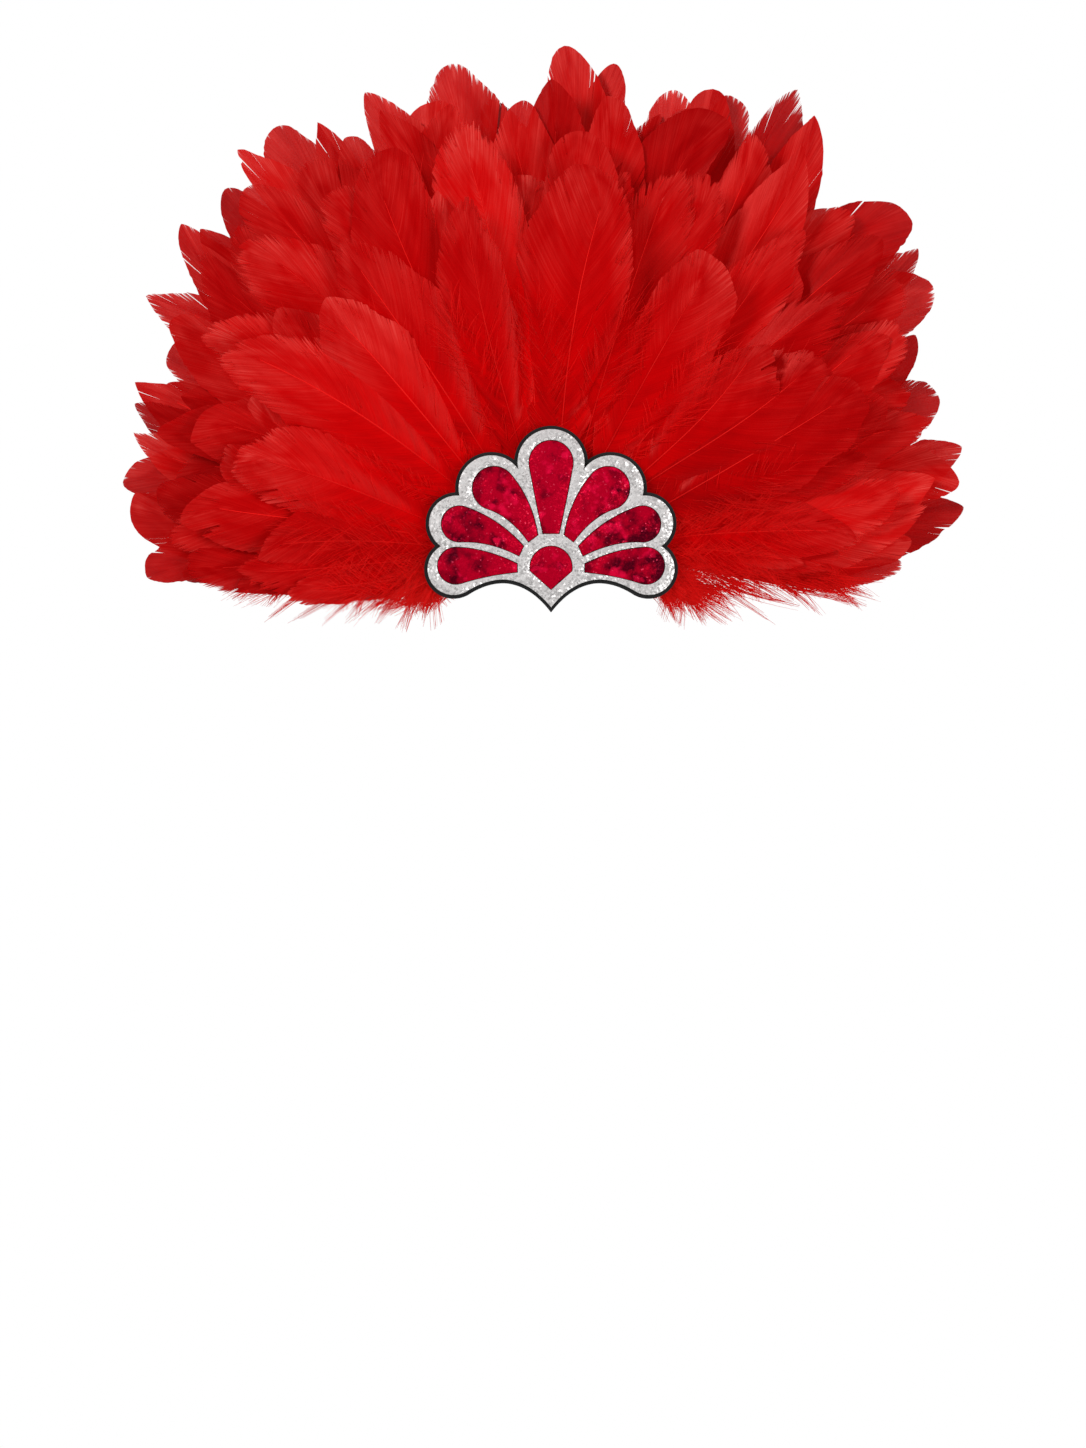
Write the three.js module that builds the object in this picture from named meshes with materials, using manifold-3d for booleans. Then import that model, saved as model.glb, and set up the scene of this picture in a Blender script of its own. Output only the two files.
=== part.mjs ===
// Carnival feather headdress: four fans of dyed feathers behind a scalloped diadem, on a plain head band.
// Millimetres, +Z up. The diadem faces -Y and the band opens to +Y.
// The origin is the seat of the band: the middle of its inner face, behind the diadem.
import * as THREE from "three";
import { mergeVertices } from "three/addons/utils/BufferGeometryUtils.js";
import Module from "manifold-3d";

const wasm = await Module();
wasm.setup();

// Driving dimensions of the head band, a horseshoe in plan that drops towards its two ends.
const BAND_HALF_WIDTH = 72;
const BAND_HALF_DEPTH = 78;
const BAND_THICKNESS = 2.4;
const BAND_HEIGHT = 16;
const BAND_END_HEIGHT = 9;
const BAND_DROP = 30;
const BAND_SWEEP_DEG = 118;
const BAND_STEPS = 22;

// The hub is the middle of the diadem's ring, and every feather points away from it.
const HUB_Z = -20;

// Layers stacked behind the diadem, from the band towards -Y.
const LAYER_GAP = 0.4;
const TAPE_THICKNESS = 2;
const BACKING_THICKNESS = 3;
const BORDER_THICKNESS = 1.6;
const PETAL_THICKNESS = 1;
const INLAY_GAP = 0.3;

// Root tape of a feather row: a flat half ring hidden by the diadem. The back row's is a wider base.
const TAPE_INNER_RADIUS = 14;
const TAPE_OVERHANG_DEG = 6;
const TAPE_STEPS = 14;
const MESH_TOLERANCE = 0.12;

// A feather's place: its quill starts in the tape, runs flat behind the diadem and leans out past its edge.
const QUILL_RADIUS = 30;
const LEAN_START_RADIUS = 74;
const LEAN_EASE = 14;
const SPREAD_START_RADIUS = 66;
const SPREAD_END_RADIUS = 140;
const QUILL_THICKNESS = 1.4;
const TIP_THICKNESS = 0.8;
const SHINGLE_DEG = 8;
const CUP_SHARE = 0.04;
const TIP_CURL_SHARE = 0.05;
const DROOP_DEG = 7;
const SWAY_DEG = 2;

// Outline of one feather past the diadem's edge: share of its free length, share of its full width.
const QUILL_WIDTH_SHARE = 0.06;
const FEATHER_OUTLINE = [
  { free: 0, width: 0.14 },
  { free: 0.3, width: 0.74 },
  { free: 0.62, width: 1 },
  { free: 0.89, width: 0.8 },
  { free: 1, width: 0.24 },
];

// Feathers of each row, from -X over the top to +X.
// Columns: angle of the tip above +X in degrees, reach of the tip from the hub, full width.
const BACK_ROW = [
  [182, 190, 20], [180, 209, 30], [176, 203, 42], [172, 221, 38], [168, 226, 42], [163, 227, 40],
  [159, 232, 32], [154, 235, 42], [149, 223, 40], [145, 254, 44], [140, 262, 42], [135, 252, 40],
  [131, 260, 40], [127, 271, 40], [122, 272, 50], [116, 260, 38], [111, 266, 46], [105, 250, 44],
  [100, 267, 52], [96, 247, 40], [89, 271, 42], [84, 264, 36], [76, 259, 46], [72, 263, 46],
  [68, 264, 36], [64, 278, 44], [59, 273, 46], [53, 234, 40], [47, 261, 50], [41, 254, 44],
  [36, 246, 48], [32, 226, 34], [26, 218, 46], [19, 221, 46], [13, 216, 44], [8, 214, 40],
  [4, 193, 30], [1, 180, 16],
];
const REAR_ROW = [
  [183, 160, 18], [180, 186, 34], [175, 196, 42], [170, 206, 40], [165, 200, 42], [160, 214, 40],
  [155, 210, 40], [150, 222, 44], [145, 232, 42], [139, 241, 40], [134, 238, 44], [128, 250, 44],
  [122, 244, 50], [115, 246, 44], [109, 250, 44], [103, 244, 48], [96, 238, 44], [89, 250, 46],
  [82, 244, 44], [76, 240, 48], [70, 250, 46], [64, 248, 46], [58, 252, 44], [51, 240, 46],
  [45, 238, 46], [39, 232, 44], [33, 216, 42], [27, 206, 42], [21, 208, 42], [14, 202, 42],
  [8, 196, 36], [5, 174, 26], [2, 160, 16],
];
const MIDDLE_ROW = [
  [185, 134, 18], [181, 160, 32], [176, 150, 42], [170, 190, 44], [163, 176, 44], [157, 196, 42],
  [151, 176, 44], [145, 214, 46], [139, 190, 46], [133, 229, 54], [126, 200, 46], [120, 222, 46],
  [114, 228, 52], [108, 200, 46], [102, 230, 50], [94, 200, 48], [87, 222, 48], [80, 206, 46],
  [73, 215, 52], [66, 214, 48], [55, 214, 38], [49, 196, 44], [43, 207, 46], [36, 208, 48],
  [30, 176, 44], [25, 190, 42], [18, 170, 44], [12, 182, 42], [7, 156, 34], [4, 146, 22],
  [1, 128, 14],
];
const FRONT_ROW = [
  [189, 104, 22], [184, 120, 32], [176, 122, 40], [168, 150, 44], [160, 169, 48], [152, 140, 46],
  [146, 200, 50], [138, 150, 48], [131, 176, 46], [123, 197, 54], [113, 150, 46], [103, 192, 40],
  [94, 146, 40], [81, 201, 60], [70, 150, 46], [62, 176, 46], [55, 150, 44], [47, 156, 52],
  [38, 172, 48], [30, 180, 46], [22, 140, 56], [13, 135, 48], [7, 130, 36], [2, 118, 22],
  [-4, 104, 14],
];

// Rows from the band outwards. Lean is the tilt towards -Y past the diadem's edge.
const ROWS = [
  { name: "feather_row_back", feathers: BACK_ROW, leanDeg: 0, tapeRadius: 92 },
  { name: "feather_row_rear", feathers: REAR_ROW, leanDeg: 6, tapeRadius: 55 },
  { name: "feather_row_middle", feathers: MIDDLE_ROW, leanDeg: 12, tapeRadius: 55 },
  { name: "feather_row_front", feathers: FRONT_ROW, leanDeg: 21, tapeRadius: 55 },
];

// Lobes of the diadem round the hub: distance of the centre, angle above horizontal, radius of the silver.
const LOBES = {
  top: { reach: 54.6, angleDeg: 90, radius: 17.4 },
  upper: { reach: 51.6, angleDeg: 53, radius: 17.1 },
  middle: { reach: 54.1, angleDeg: 25, radius: 14.5 },
  lower: { reach: 50.8, angleDeg: -1, radius: 13.5 },
};
const LOWER_EDGE_LOBE_DEG = -118;
const LOWER_EDGE_CREST = { x: 23, z: -6.4 };
const LOWER_EDGE_TIP_Z = -20.8;
const BACKING_MARGIN = 1.5;

// Petals along their lobe's line: centre and radius of the round end and its lift off the line, then the
// upper and lower side's offsets halfway down and at the root.
const PETALS = {
  top: { centre: 54.6, radius: 11.5, lift: 0, sides: [8.3, -8.3], root: [4.2, -4.2] },
  upper: { centre: 50.8, radius: 11.3, lift: 1.1, sides: [13.4, -1], root: [4.6, -1.4] },
  middle: { centre: 52.8, radius: 9.4, lift: 0.3, sides: [11.6, -0.9], root: [3.9, -1.7] },
  lower: { centre: 49.5, radius: 9.6, lift: 1.7, sides: [10.5, -3.4], root: [2.1, -2.2] },
};
const PETAL_ROOT_RADIUS = 17.6;
const DROP_RADIUS = 11;
const DROP_SHOULDER_Z = -2;
const DROP_TIP_Z = -11.5;
const ARC_STEPS = 5;

const MATERIALS = {
  feather: new THREE.MeshStandardMaterial({ color: 0xc8100f, roughness: 0.62, metalness: 0 }),
  border: new THREE.MeshStandardMaterial({ color: 0xd2d3d6, roughness: 0.35, metalness: 0.7 }),
  foil: new THREE.MeshStandardMaterial({ color: 0xb00424, roughness: 0.25, metalness: 0.6 }),
  foam: new THREE.MeshStandardMaterial({ color: 0x121113, roughness: 0.85, metalness: 0 }),
  band: new THREE.MeshStandardMaterial({ color: 0x141214, roughness: 0.7, metalness: 0 }),
};

const radians = THREE.MathUtils.degToRad;

// Solids and meshes

function toSolid(geometry) {
  const bare = geometry.index ? geometry.toNonIndexed() : geometry;
  const positions = new THREE.BufferGeometry().setAttribute("position", bare.getAttribute("position"));
  const merged = mergeVertices(positions, 1e-4);
  return new wasm.Manifold(
    new wasm.Mesh({
      numProp: 3,
      vertProperties: merged.attributes.position.array,
      triVerts: new Uint32Array(merged.index.array),
    }),
  );
}

function toGeometry(solid) {
  const mesh = solid.getMesh();
  const geometry = new THREE.BufferGeometry();
  geometry.setAttribute("position", new THREE.BufferAttribute(mesh.vertProperties, 3));
  geometry.setIndex(new THREE.BufferAttribute(mesh.triVerts, 1));
  geometry.computeVertexNormals();
  return geometry;
}

// Closed skin over a list of rings, each a list of points in the same order, with flat ends.
function loft(rings) {
  const corners = rings[0].length;
  const positions = rings.flat().flatMap((p) => [p.x, p.y, p.z]);
  const index = [];
  for (let ring = 0; ring + 1 < rings.length; ring++) {
    for (let i = 0; i < corners; i++) {
      const next = (i + 1) % corners;
      const low = ring * corners;
      const high = low + corners;
      index.push(low + i, low + next, high + next, low + i, high + next, high + i);
    }
  }
  const last = (rings.length - 1) * corners;
  for (let i = 1; i + 1 < corners; i++) {
    index.push(0, i + 1, i);
    index.push(last, last + i, last + i + 1);
  }
  const geometry = new THREE.BufferGeometry();
  geometry.setAttribute("position", new THREE.Float32BufferAttribute(positions, 3));
  geometry.setIndex(index);
  return geometry;
}

// A flat outline in the X-Z plane round the hub, made into a plate from its front face's y backwards.
function plate(shape, frontY, thickness) {
  const geometry = new THREE.ExtrudeGeometry(shape, {
    depth: thickness,
    bevelEnabled: false,
    curveSegments: ARC_STEPS,
  });
  geometry.rotateX(Math.PI / 2);
  geometry.translate(0, frontY + thickness, HUB_Z);
  return geometry;
}

// Feather rows

function tapeFrontY(rowIndex) {
  return -BAND_THICKNESS - (rowIndex + 1) * (TAPE_THICKNESS + LAYER_GAP);
}

// Point on a feather's quill at a radius from the hub.
function quillPoint(row, rowIndex, [angleDeg, reach], order, radius) {
  const along = (radius - QUILL_RADIUS) / (reach - QUILL_RADIUS);
  const droop = -DROOP_DEG * Math.cos(radians(angleDeg));
  const sway = order % 2 ? SWAY_DEG : -SWAY_DEG;
  const angle = radians(angleDeg - (sway + droop) * Math.max(0, 1 - along) ** 1.5);
  const past = Math.max(0, radius - LEAN_START_RADIUS);
  const lean = (Math.tan(radians(row.leanDeg)) * past * past) / (past + LEAN_EASE);
  const curl = TIP_CURL_SHARE * past * (past / (reach - LEAN_START_RADIUS)) ** 2;
  const y = tapeFrontY(rowIndex) + TAPE_THICKNESS / 2 - lean + curl;
  return new THREE.Vector3(radius * Math.cos(angle), y, HUB_Z + radius * Math.sin(angle));
}

// One feather as a thin leaf with a raised quill: left edge, front ridge, right edge, back ridge.
function featherSolid(row, rowIndex, feather, order) {
  const [, reach, width] = feather;
  const step = 0.5;
  const ring = (radius, widthShare) => {
    const point = quillPoint(row, rowIndex, feather, order, radius);
    const ahead = quillPoint(row, rowIndex, feather, order, radius + step);
    const forward = ahead.sub(point).setY(0).normalize();
    const spread = THREE.MathUtils.smoothstep(radius, SPREAD_START_RADIUS, SPREAD_END_RADIUS);
    const half = (widthShare * width) / 2;
    const across = new THREE.Vector3(-forward.z, Math.tan(radians(SHINGLE_DEG)) * spread, forward.x);
    const cup = new THREE.Vector3(0, CUP_SHARE * half * spread, 0);
    const ridge = THREE.MathUtils.mapLinear(radius, QUILL_RADIUS, reach, QUILL_THICKNESS, TIP_THICKNESS) / 2;
    return [
      point.clone().addScaledVector(across, half).add(cup),
      point.clone().add(new THREE.Vector3(0, -ridge, 0)),
      point.clone().addScaledVector(across, -half).add(cup),
      point.clone().add(new THREE.Vector3(0, ridge, 0)),
    ];
  };
  const free = FEATHER_OUTLINE.map((station) =>
    ring(THREE.MathUtils.lerp(LEAN_START_RADIUS, reach, station.free), station.width),
  );
  return toSolid(loft([ring(QUILL_RADIUS, QUILL_WIDTH_SHARE), ...free]));
}

function tapeShape(outerRadius) {
  const start = radians(-TAPE_OVERHANG_DEG);
  const end = radians(180 + TAPE_OVERHANG_DEG);
  const shape = new THREE.Shape();
  for (let i = 0; i <= TAPE_STEPS; i++) {
    const angle = THREE.MathUtils.lerp(start, end, i / TAPE_STEPS);
    const point = [outerRadius * Math.cos(angle), outerRadius * Math.sin(angle)];
    if (i === 0) shape.moveTo(...point);
    else shape.lineTo(...point);
  }
  for (let i = TAPE_STEPS; i >= 0; i--) {
    const angle = THREE.MathUtils.lerp(start, end, i / TAPE_STEPS);
    shape.lineTo(TAPE_INNER_RADIUS * Math.cos(angle), TAPE_INNER_RADIUS * Math.sin(angle));
  }
  return shape;
}

// The outer shell alone, so that a pocket closed in between crossing feathers is filled.
function withoutPockets(solid) {
  return solid.decompose().reduce((best, shell) => (shell.volume() > best.volume() ? shell : best));
}

function featherRow(row, rowIndex) {
  const tape = toSolid(plate(tapeShape(row.tapeRadius), tapeFrontY(rowIndex), TAPE_THICKNESS));
  const leaves = row.feathers.map((feather, order) => featherSolid(row, rowIndex, feather, order));
  const fused = withoutPockets(leaves.reduce((sum, leaf) => sum.add(leaf), tape)).simplify(MESH_TOLERANCE);
  const mesh = new THREE.Mesh(toGeometry(fused), MATERIALS.feather);
  mesh.name = row.name;
  return mesh;
}

// Diadem

function lobeCentre({ reach, angleDeg }) {
  return new THREE.Vector2(reach * Math.cos(radians(angleDeg)), reach * Math.sin(radians(angleDeg)));
}

// Outer crossing of two neighbouring lobes, which is the notch between them.
function notch(a, b, grow) {
  const from = lobeCentre(a);
  const to = lobeCentre(b);
  const between = to.clone().sub(from);
  const distance = between.length();
  const radiusA = a.radius + grow;
  const radiusB = b.radius + grow;
  const alongLine = (distance ** 2 + radiusA ** 2 - radiusB ** 2) / (2 * distance);
  const outward = Math.sqrt(radiusA ** 2 - alongLine ** 2);
  const direction = between.normalize();
  const normal = new THREE.Vector2(-direction.y, direction.x);
  if (normal.dot(from) < 0) normal.negate();
  return from.clone().addScaledVector(direction, alongLine).addScaledVector(normal, outward);
}

// Right half of the outline from the lower tip up to the top of the top lobe, as points.
function rightHalf(grow) {
  const path = new THREE.Path();
  const lower = lobeCentre(LOBES.lower);
  const lowerRadius = LOBES.lower.radius + grow;
  const leave = radians(LOWER_EDGE_LOBE_DEG);
  const outward = new THREE.Vector2(Math.cos(leave), Math.sin(leave));
  const meet = lower.clone().addScaledVector(outward, lowerRadius);
  const crest = new THREE.Vector2(LOWER_EDGE_CREST.x, LOWER_EDGE_CREST.z - grow);
  path.moveTo(0, LOWER_EDGE_TIP_Z - 1.4 * grow);
  path.quadraticCurveTo(crest.x * 0.45, crest.y - 1.5, crest.x, crest.y);
  path.quadraticCurveTo(crest.x + 10, crest.y + 0.8, meet.x, meet.y);
  const chain = [LOBES.lower, LOBES.middle, LOBES.upper, LOBES.top];
  let from = leave;
  chain.forEach((lobe, i) => {
    const centre = lobeCentre(lobe);
    const isTop = i === chain.length - 1;
    const end = isTop ? new THREE.Vector2(0, centre.y + lobe.radius + grow) : notch(lobe, chain[i + 1], grow);
    const to = Math.atan2(end.y - centre.y, end.x - centre.x);
    path.absarc(centre.x, centre.y, lobe.radius + grow, from, to, false);
    if (!isTop) {
      const next = lobeCentre(chain[i + 1]);
      from = Math.atan2(end.y - next.y, end.x - next.x);
    }
  });
  return path.getPoints(ARC_STEPS);
}

function diademOutline(grow) {
  const right = rightHalf(grow);
  const left = right.slice(1, -1).reverse().map((p) => new THREE.Vector2(-p.x, p.y));
  return new THREE.Shape([...right, ...left]);
}

// Angle at which a line from a point off a circle's centre touches that circle, on its upper or lower side.
function touchAngle(along, out, radius, side) {
  return Math.atan2(out, along) - side * Math.acos(Math.min(1, radius / Math.hypot(along, out)));
}

// A petal: a round end inside its lobe, drawn in to a narrow root at the ring. Side petals bow upwards.
function petalPoints(kind, mirror, grow) {
  const petal = PETALS[kind];
  const round = petal.radius + grow;
  const root = PETAL_ROOT_RADIUS - grow;
  const middle = (petal.centre + root) / 2;
  const [upper, lower] = petal.sides.map((side, i) => {
    const sign = i === 0 ? 1 : -1;
    const offset = side + sign * grow;
    const angle = touchAngle(middle - petal.centre, offset - petal.lift, round, sign);
    const touch = new THREE.Vector2(round * Math.cos(angle), round * Math.sin(angle));
    touch.add(new THREE.Vector2(petal.centre, petal.lift));
    return { offset, angle, touch, root: petal.root[i] + sign * grow };
  });
  const path = new THREE.Path();
  path.moveTo(root, lower.root);
  path.quadraticCurveTo(middle, lower.offset, lower.touch.x, lower.touch.y);
  path.absarc(petal.centre, petal.lift, round, lower.angle, upper.angle, false);
  path.quadraticCurveTo(middle, upper.offset, root, upper.root);
  const turn = radians(LOBES[kind].angleDeg);
  return path.getPoints(ARC_STEPS).map((p) => {
    const turned = p.clone().rotateAround(new THREE.Vector2(), turn);
    return new THREE.Vector2(mirror * turned.x, turned.y);
  });
}

// The middle field: a dome with a pointed lower end.
function dropPoints(grow) {
  const radius = DROP_RADIUS + grow;
  const shoulder = Math.asin(DROP_SHOULDER_Z / radius);
  const path = new THREE.Path();
  path.absarc(0, 0, radius, shoulder, Math.PI - shoulder, false);
  path.lineTo(0, DROP_TIP_Z - 1.4 * grow);
  return path.getPoints(ARC_STEPS);
}

function diademPieces() {
  const backingFront = tapeFrontY(ROWS.length - 1) - LAYER_GAP - BACKING_THICKNESS;
  const inlayBack = backingFront - INLAY_GAP;
  const fields = [{ name: "centre_drop", points: dropPoints }];
  fields.push({ name: "petal_top", points: (grow) => petalPoints("top", 1, grow) });
  for (const kind of ["upper", "middle", "lower"]) {
    fields.push({ name: `petal_${kind}_left`, points: (grow) => petalPoints(kind, -1, grow) });
    fields.push({ name: `petal_${kind}_right`, points: (grow) => petalPoints(kind, 1, grow) });
  }
  const border = diademOutline(0);
  for (const field of fields) border.holes.push(new THREE.Path(field.points(INLAY_GAP)));
  const pieces = [
    ["diadem_backing", diademOutline(BACKING_MARGIN), backingFront, BACKING_THICKNESS, MATERIALS.foam],
    ["diadem_border", border, inlayBack - BORDER_THICKNESS, BORDER_THICKNESS, MATERIALS.border],
  ];
  for (const field of fields) {
    const shape = new THREE.Shape(field.points(0));
    pieces.push([field.name, shape, inlayBack - PETAL_THICKNESS, PETAL_THICKNESS, MATERIALS.foil]);
  }
  return pieces.map(([name, shape, frontY, thickness, material]) => {
    const mesh = new THREE.Mesh(plate(shape, frontY, thickness), material);
    mesh.name = name;
    return mesh;
  });
}

// Head band: an elliptical horseshoe, tapered towards its ends and sheared down along +Y.
function headBand() {
  const sweep = radians(BAND_SWEEP_DEG);
  const shape = new THREE.Shape();
  const edge = (grow, share) => {
    const angle = THREE.MathUtils.lerp(-sweep, sweep, share);
    const x = (BAND_HALF_WIDTH + grow) * Math.sin(angle);
    const y = BAND_HALF_DEPTH - (BAND_HALF_DEPTH + grow) * Math.cos(angle);
    return new THREE.Vector2(x, y);
  };
  const shares = Array.from({ length: BAND_STEPS + 1 }, (_, i) => i / BAND_STEPS);
  const outer = shares.map((share) => edge(BAND_THICKNESS, share));
  const inner = shares.map((share) => edge(0, share)).reverse();
  shape.setFromPoints([...outer, ...inner]);
  const geometry = new THREE.ExtrudeGeometry(shape, { depth: BAND_HEIGHT, bevelEnabled: false });
  const length = edge(0, 1).y;
  const position = geometry.getAttribute("position");
  for (let i = 0; i < position.count; i++) {
    const along = position.getY(i) / length;
    const height = THREE.MathUtils.lerp(BAND_HEIGHT, BAND_END_HEIGHT, along) / BAND_HEIGHT;
    position.setZ(i, (position.getZ(i) - BAND_HEIGHT / 2) * height - BAND_DROP * along);
  }
  const mesh = new THREE.Mesh(geometry, MATERIALS.band);
  mesh.name = "head_band";
  return mesh;
}

const headdress = new THREE.Group();
headdress.name = "feather_headdress";
headdress.add(headBand());
headdress.add(...ROWS.map((row, rowIndex) => featherRow(row, rowIndex)));
headdress.add(...diademPieces());

export default headdress;
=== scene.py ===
"""Looks of the carnival feather headdress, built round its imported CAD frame.

Lengths are in metres. +X runs to the right across the fan, +Y back through the band, +Z up.
"""

import logging
import math
from dataclasses import dataclass, field
from enum import Enum

import bpy
import numpy as np
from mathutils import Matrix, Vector


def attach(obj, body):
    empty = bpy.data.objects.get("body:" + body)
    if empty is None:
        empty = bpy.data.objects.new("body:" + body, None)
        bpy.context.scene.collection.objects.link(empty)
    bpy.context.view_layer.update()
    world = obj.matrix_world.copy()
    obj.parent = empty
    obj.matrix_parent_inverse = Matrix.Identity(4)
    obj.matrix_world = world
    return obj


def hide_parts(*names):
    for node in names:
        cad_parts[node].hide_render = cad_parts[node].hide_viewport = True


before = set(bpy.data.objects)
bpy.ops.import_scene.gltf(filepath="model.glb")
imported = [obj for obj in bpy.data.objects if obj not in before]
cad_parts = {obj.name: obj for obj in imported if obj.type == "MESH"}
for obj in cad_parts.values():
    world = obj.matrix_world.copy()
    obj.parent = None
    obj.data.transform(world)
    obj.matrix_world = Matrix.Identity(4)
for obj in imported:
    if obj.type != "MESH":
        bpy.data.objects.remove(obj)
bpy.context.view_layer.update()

log = logging.getLogger("headdress")

MM = 0.001
SEED = 31
HUB_Z = -20 * MM

# Layers from the band forwards: felt tapes of the rows, then the diadem's plates.
BAND_THICKNESS = 2.4 * MM
LAYER_GAP = 0.4 * MM
TAPE_THICKNESS = 2 * MM
BACKING_THICKNESS = 3 * MM
BORDER_THICKNESS = 1.6 * MM
FIELD_THICKNESS = 1 * MM
INLAY_GAP = 0.3 * MM

# Feathers of each row from left to right: tip angle in degrees, reach from the hub in mm, full width in mm.
BACK_ROW = (
    (182, 190, 20), (180, 209, 30), (177, 199, 40), (171, 220, 36), (167, 227, 42), (163, 227, 40),
    (159, 232, 32), (155.5, 236, 42), (151, 227, 40), (145, 254, 44), (138.5, 262, 42), (135, 252, 40),
    (131, 260, 40), (127, 271, 40), (122, 272, 50), (116, 260, 38), (111, 266, 46), (105, 250, 44),
    (102, 268, 52), (96, 247, 40), (89, 271, 42), (84, 264, 36), (75, 254, 44), (72, 263, 46),
    (68, 264, 36), (64.5, 281, 44), (59, 273, 44), (52, 226, 40), (47, 261, 50), (41, 254, 44),
    (36, 246, 48), (32, 226, 34), (26, 218, 46), (19, 221, 46), (14, 216, 44), (9.5, 216, 40),
    (4, 186, 30), (1, 180, 16),
)
REAR_ROW = (
    (183, 160, 18), (180, 186, 34), (175, 196, 42), (170, 206, 40), (165, 200, 42), (160, 214, 40),
    (155, 210, 40), (150, 222, 44), (145, 232, 42), (139, 241, 40), (134, 238, 44), (128, 250, 44),
    (122, 244, 50), (115, 246, 44), (109, 250, 44), (103, 244, 48), (96, 238, 44), (89, 250, 46),
    (82, 244, 44), (76, 240, 48), (70, 250, 46), (64, 248, 46), (58, 252, 44), (51, 240, 46),
    (45, 238, 46), (39, 232, 44), (33, 216, 42), (27, 206, 42), (21, 208, 42), (14, 202, 42),
    (8, 196, 36), (5, 174, 26), (2, 160, 16),
)
MIDDLE_ROW = (
    (185, 134, 18), (181, 160, 32), (176, 150, 42), (170, 190, 44), (163, 176, 44), (157, 196, 42),
    (151, 176, 44), (145, 214, 46), (139, 190, 46), (133, 229, 54), (126, 200, 46), (120, 222, 46),
    (114, 228, 52), (108, 200, 46), (102, 230, 50), (94, 200, 48), (87, 222, 48), (80, 206, 46),
    (73, 215, 52), (66, 214, 48), (55, 214, 38), (49, 196, 44), (43, 207, 46), (36, 208, 48),
    (30, 176, 44), (25, 190, 42), (18, 170, 44), (12, 182, 42), (7, 156, 34), (4, 146, 22),
    (1, 128, 14),
)
FRONT_ROW = (
    (189, 104, 22), (184, 120, 32), (176, 122, 40), (168, 150, 44), (160, 169, 48), (152, 140, 46),
    (146, 200, 50), (138, 150, 48), (131, 176, 46), (123, 197, 54), (113, 150, 46), (103, 192, 40),
    (94, 146, 40), (81, 201, 60), (70, 150, 46), (62, 176, 46), (55, 150, 44), (47, 156, 52),
    (38, 172, 48), (30, 180, 46), (22, 140, 56), (13, 135, 48), (7, 130, 36), (2, 118, 22),
    (-4, 104, 14),
)


class Mark(Enum):
    """Point attributes that the feather finish reads."""

    TONE = "tone"
    ALONG = "along"
    SHAFT = "shaft"
    FRAY = "fray"


class UvMap(Enum):
    """UV maps of a feather piece: barb lines for the finish, and a flat sheet for baking."""

    BARBS = "barbs"
    BAKE = "OFBake"


def tape_front(layer: int) -> float:
    """Return the y of the front face of a row's felt tape."""
    return -BAND_THICKNESS - (layer + 1) * (TAPE_THICKNESS + LAYER_GAP)


def unit(vectors: np.ndarray) -> np.ndarray:
    """Return vectors scaled to length one along their last axis."""
    return vectors / np.linalg.norm(vectors, axis=-1, keepdims=True)


def smoothstep(values: np.ndarray, start: float, end: float) -> np.ndarray:
    """Return an ease from 0 at start to 1 at end."""
    share = np.clip((values - start) / (end - start), 0.0, 1.0)
    return share * share * (3.0 - 2.0 * share)


def activate(piece: bpy.types.Object) -> None:
    """Make one object the only selected and the active one.

    Args:
        piece: The object.
    """
    bpy.ops.object.select_all(action="DESELECT")
    piece.select_set(True)
    bpy.context.view_layer.objects.active = piece


def apply_modifier(piece: bpy.types.Object, kind: str, **settings: object) -> None:
    """Add a modifier to a piece and apply it.

    Args:
        piece: The object to change.
        kind: Blender's type name of the modifier.
        settings: Values for the modifier's properties.
    """
    activate(piece)
    modifier = piece.modifiers.new(kind.lower(), kind)
    for name, value in settings.items():
        setattr(modifier, name, value)
    bpy.ops.object.modifier_apply(modifier=modifier.name)


def bevel(piece: bpy.types.Object, width: float, segments: int, degrees: float) -> None:
    """Round a piece's edges that are sharper than an angle."""
    limit = math.radians(degrees)
    apply_modifier(piece, "BEVEL", width=width, segments=segments, limit_method="ANGLE", angle_limit=limit)


def smooth_by_angle(piece: bpy.types.Object, degrees: float) -> None:
    """Shade a piece smooth except across edges sharper than an angle."""
    activate(piece)
    bpy.ops.object.shade_smooth_by_angle(angle=math.radians(degrees))


def join(piece: bpy.types.Object, *others: bpy.types.Object) -> bpy.types.Object:
    """Join other objects into a piece.

    Args:
        piece: The object that stays.
        others: The objects that it takes in.

    Returns:
        The joined object.
    """
    activate(piece)
    for other in others:
        other.select_set(True)
    bpy.ops.object.join()
    return piece


def dress(piece: bpy.types.Object, material: bpy.types.Material) -> None:
    """Give a piece one material in place of any it has."""
    piece.data.materials.clear()
    piece.data.materials.append(material)


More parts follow.
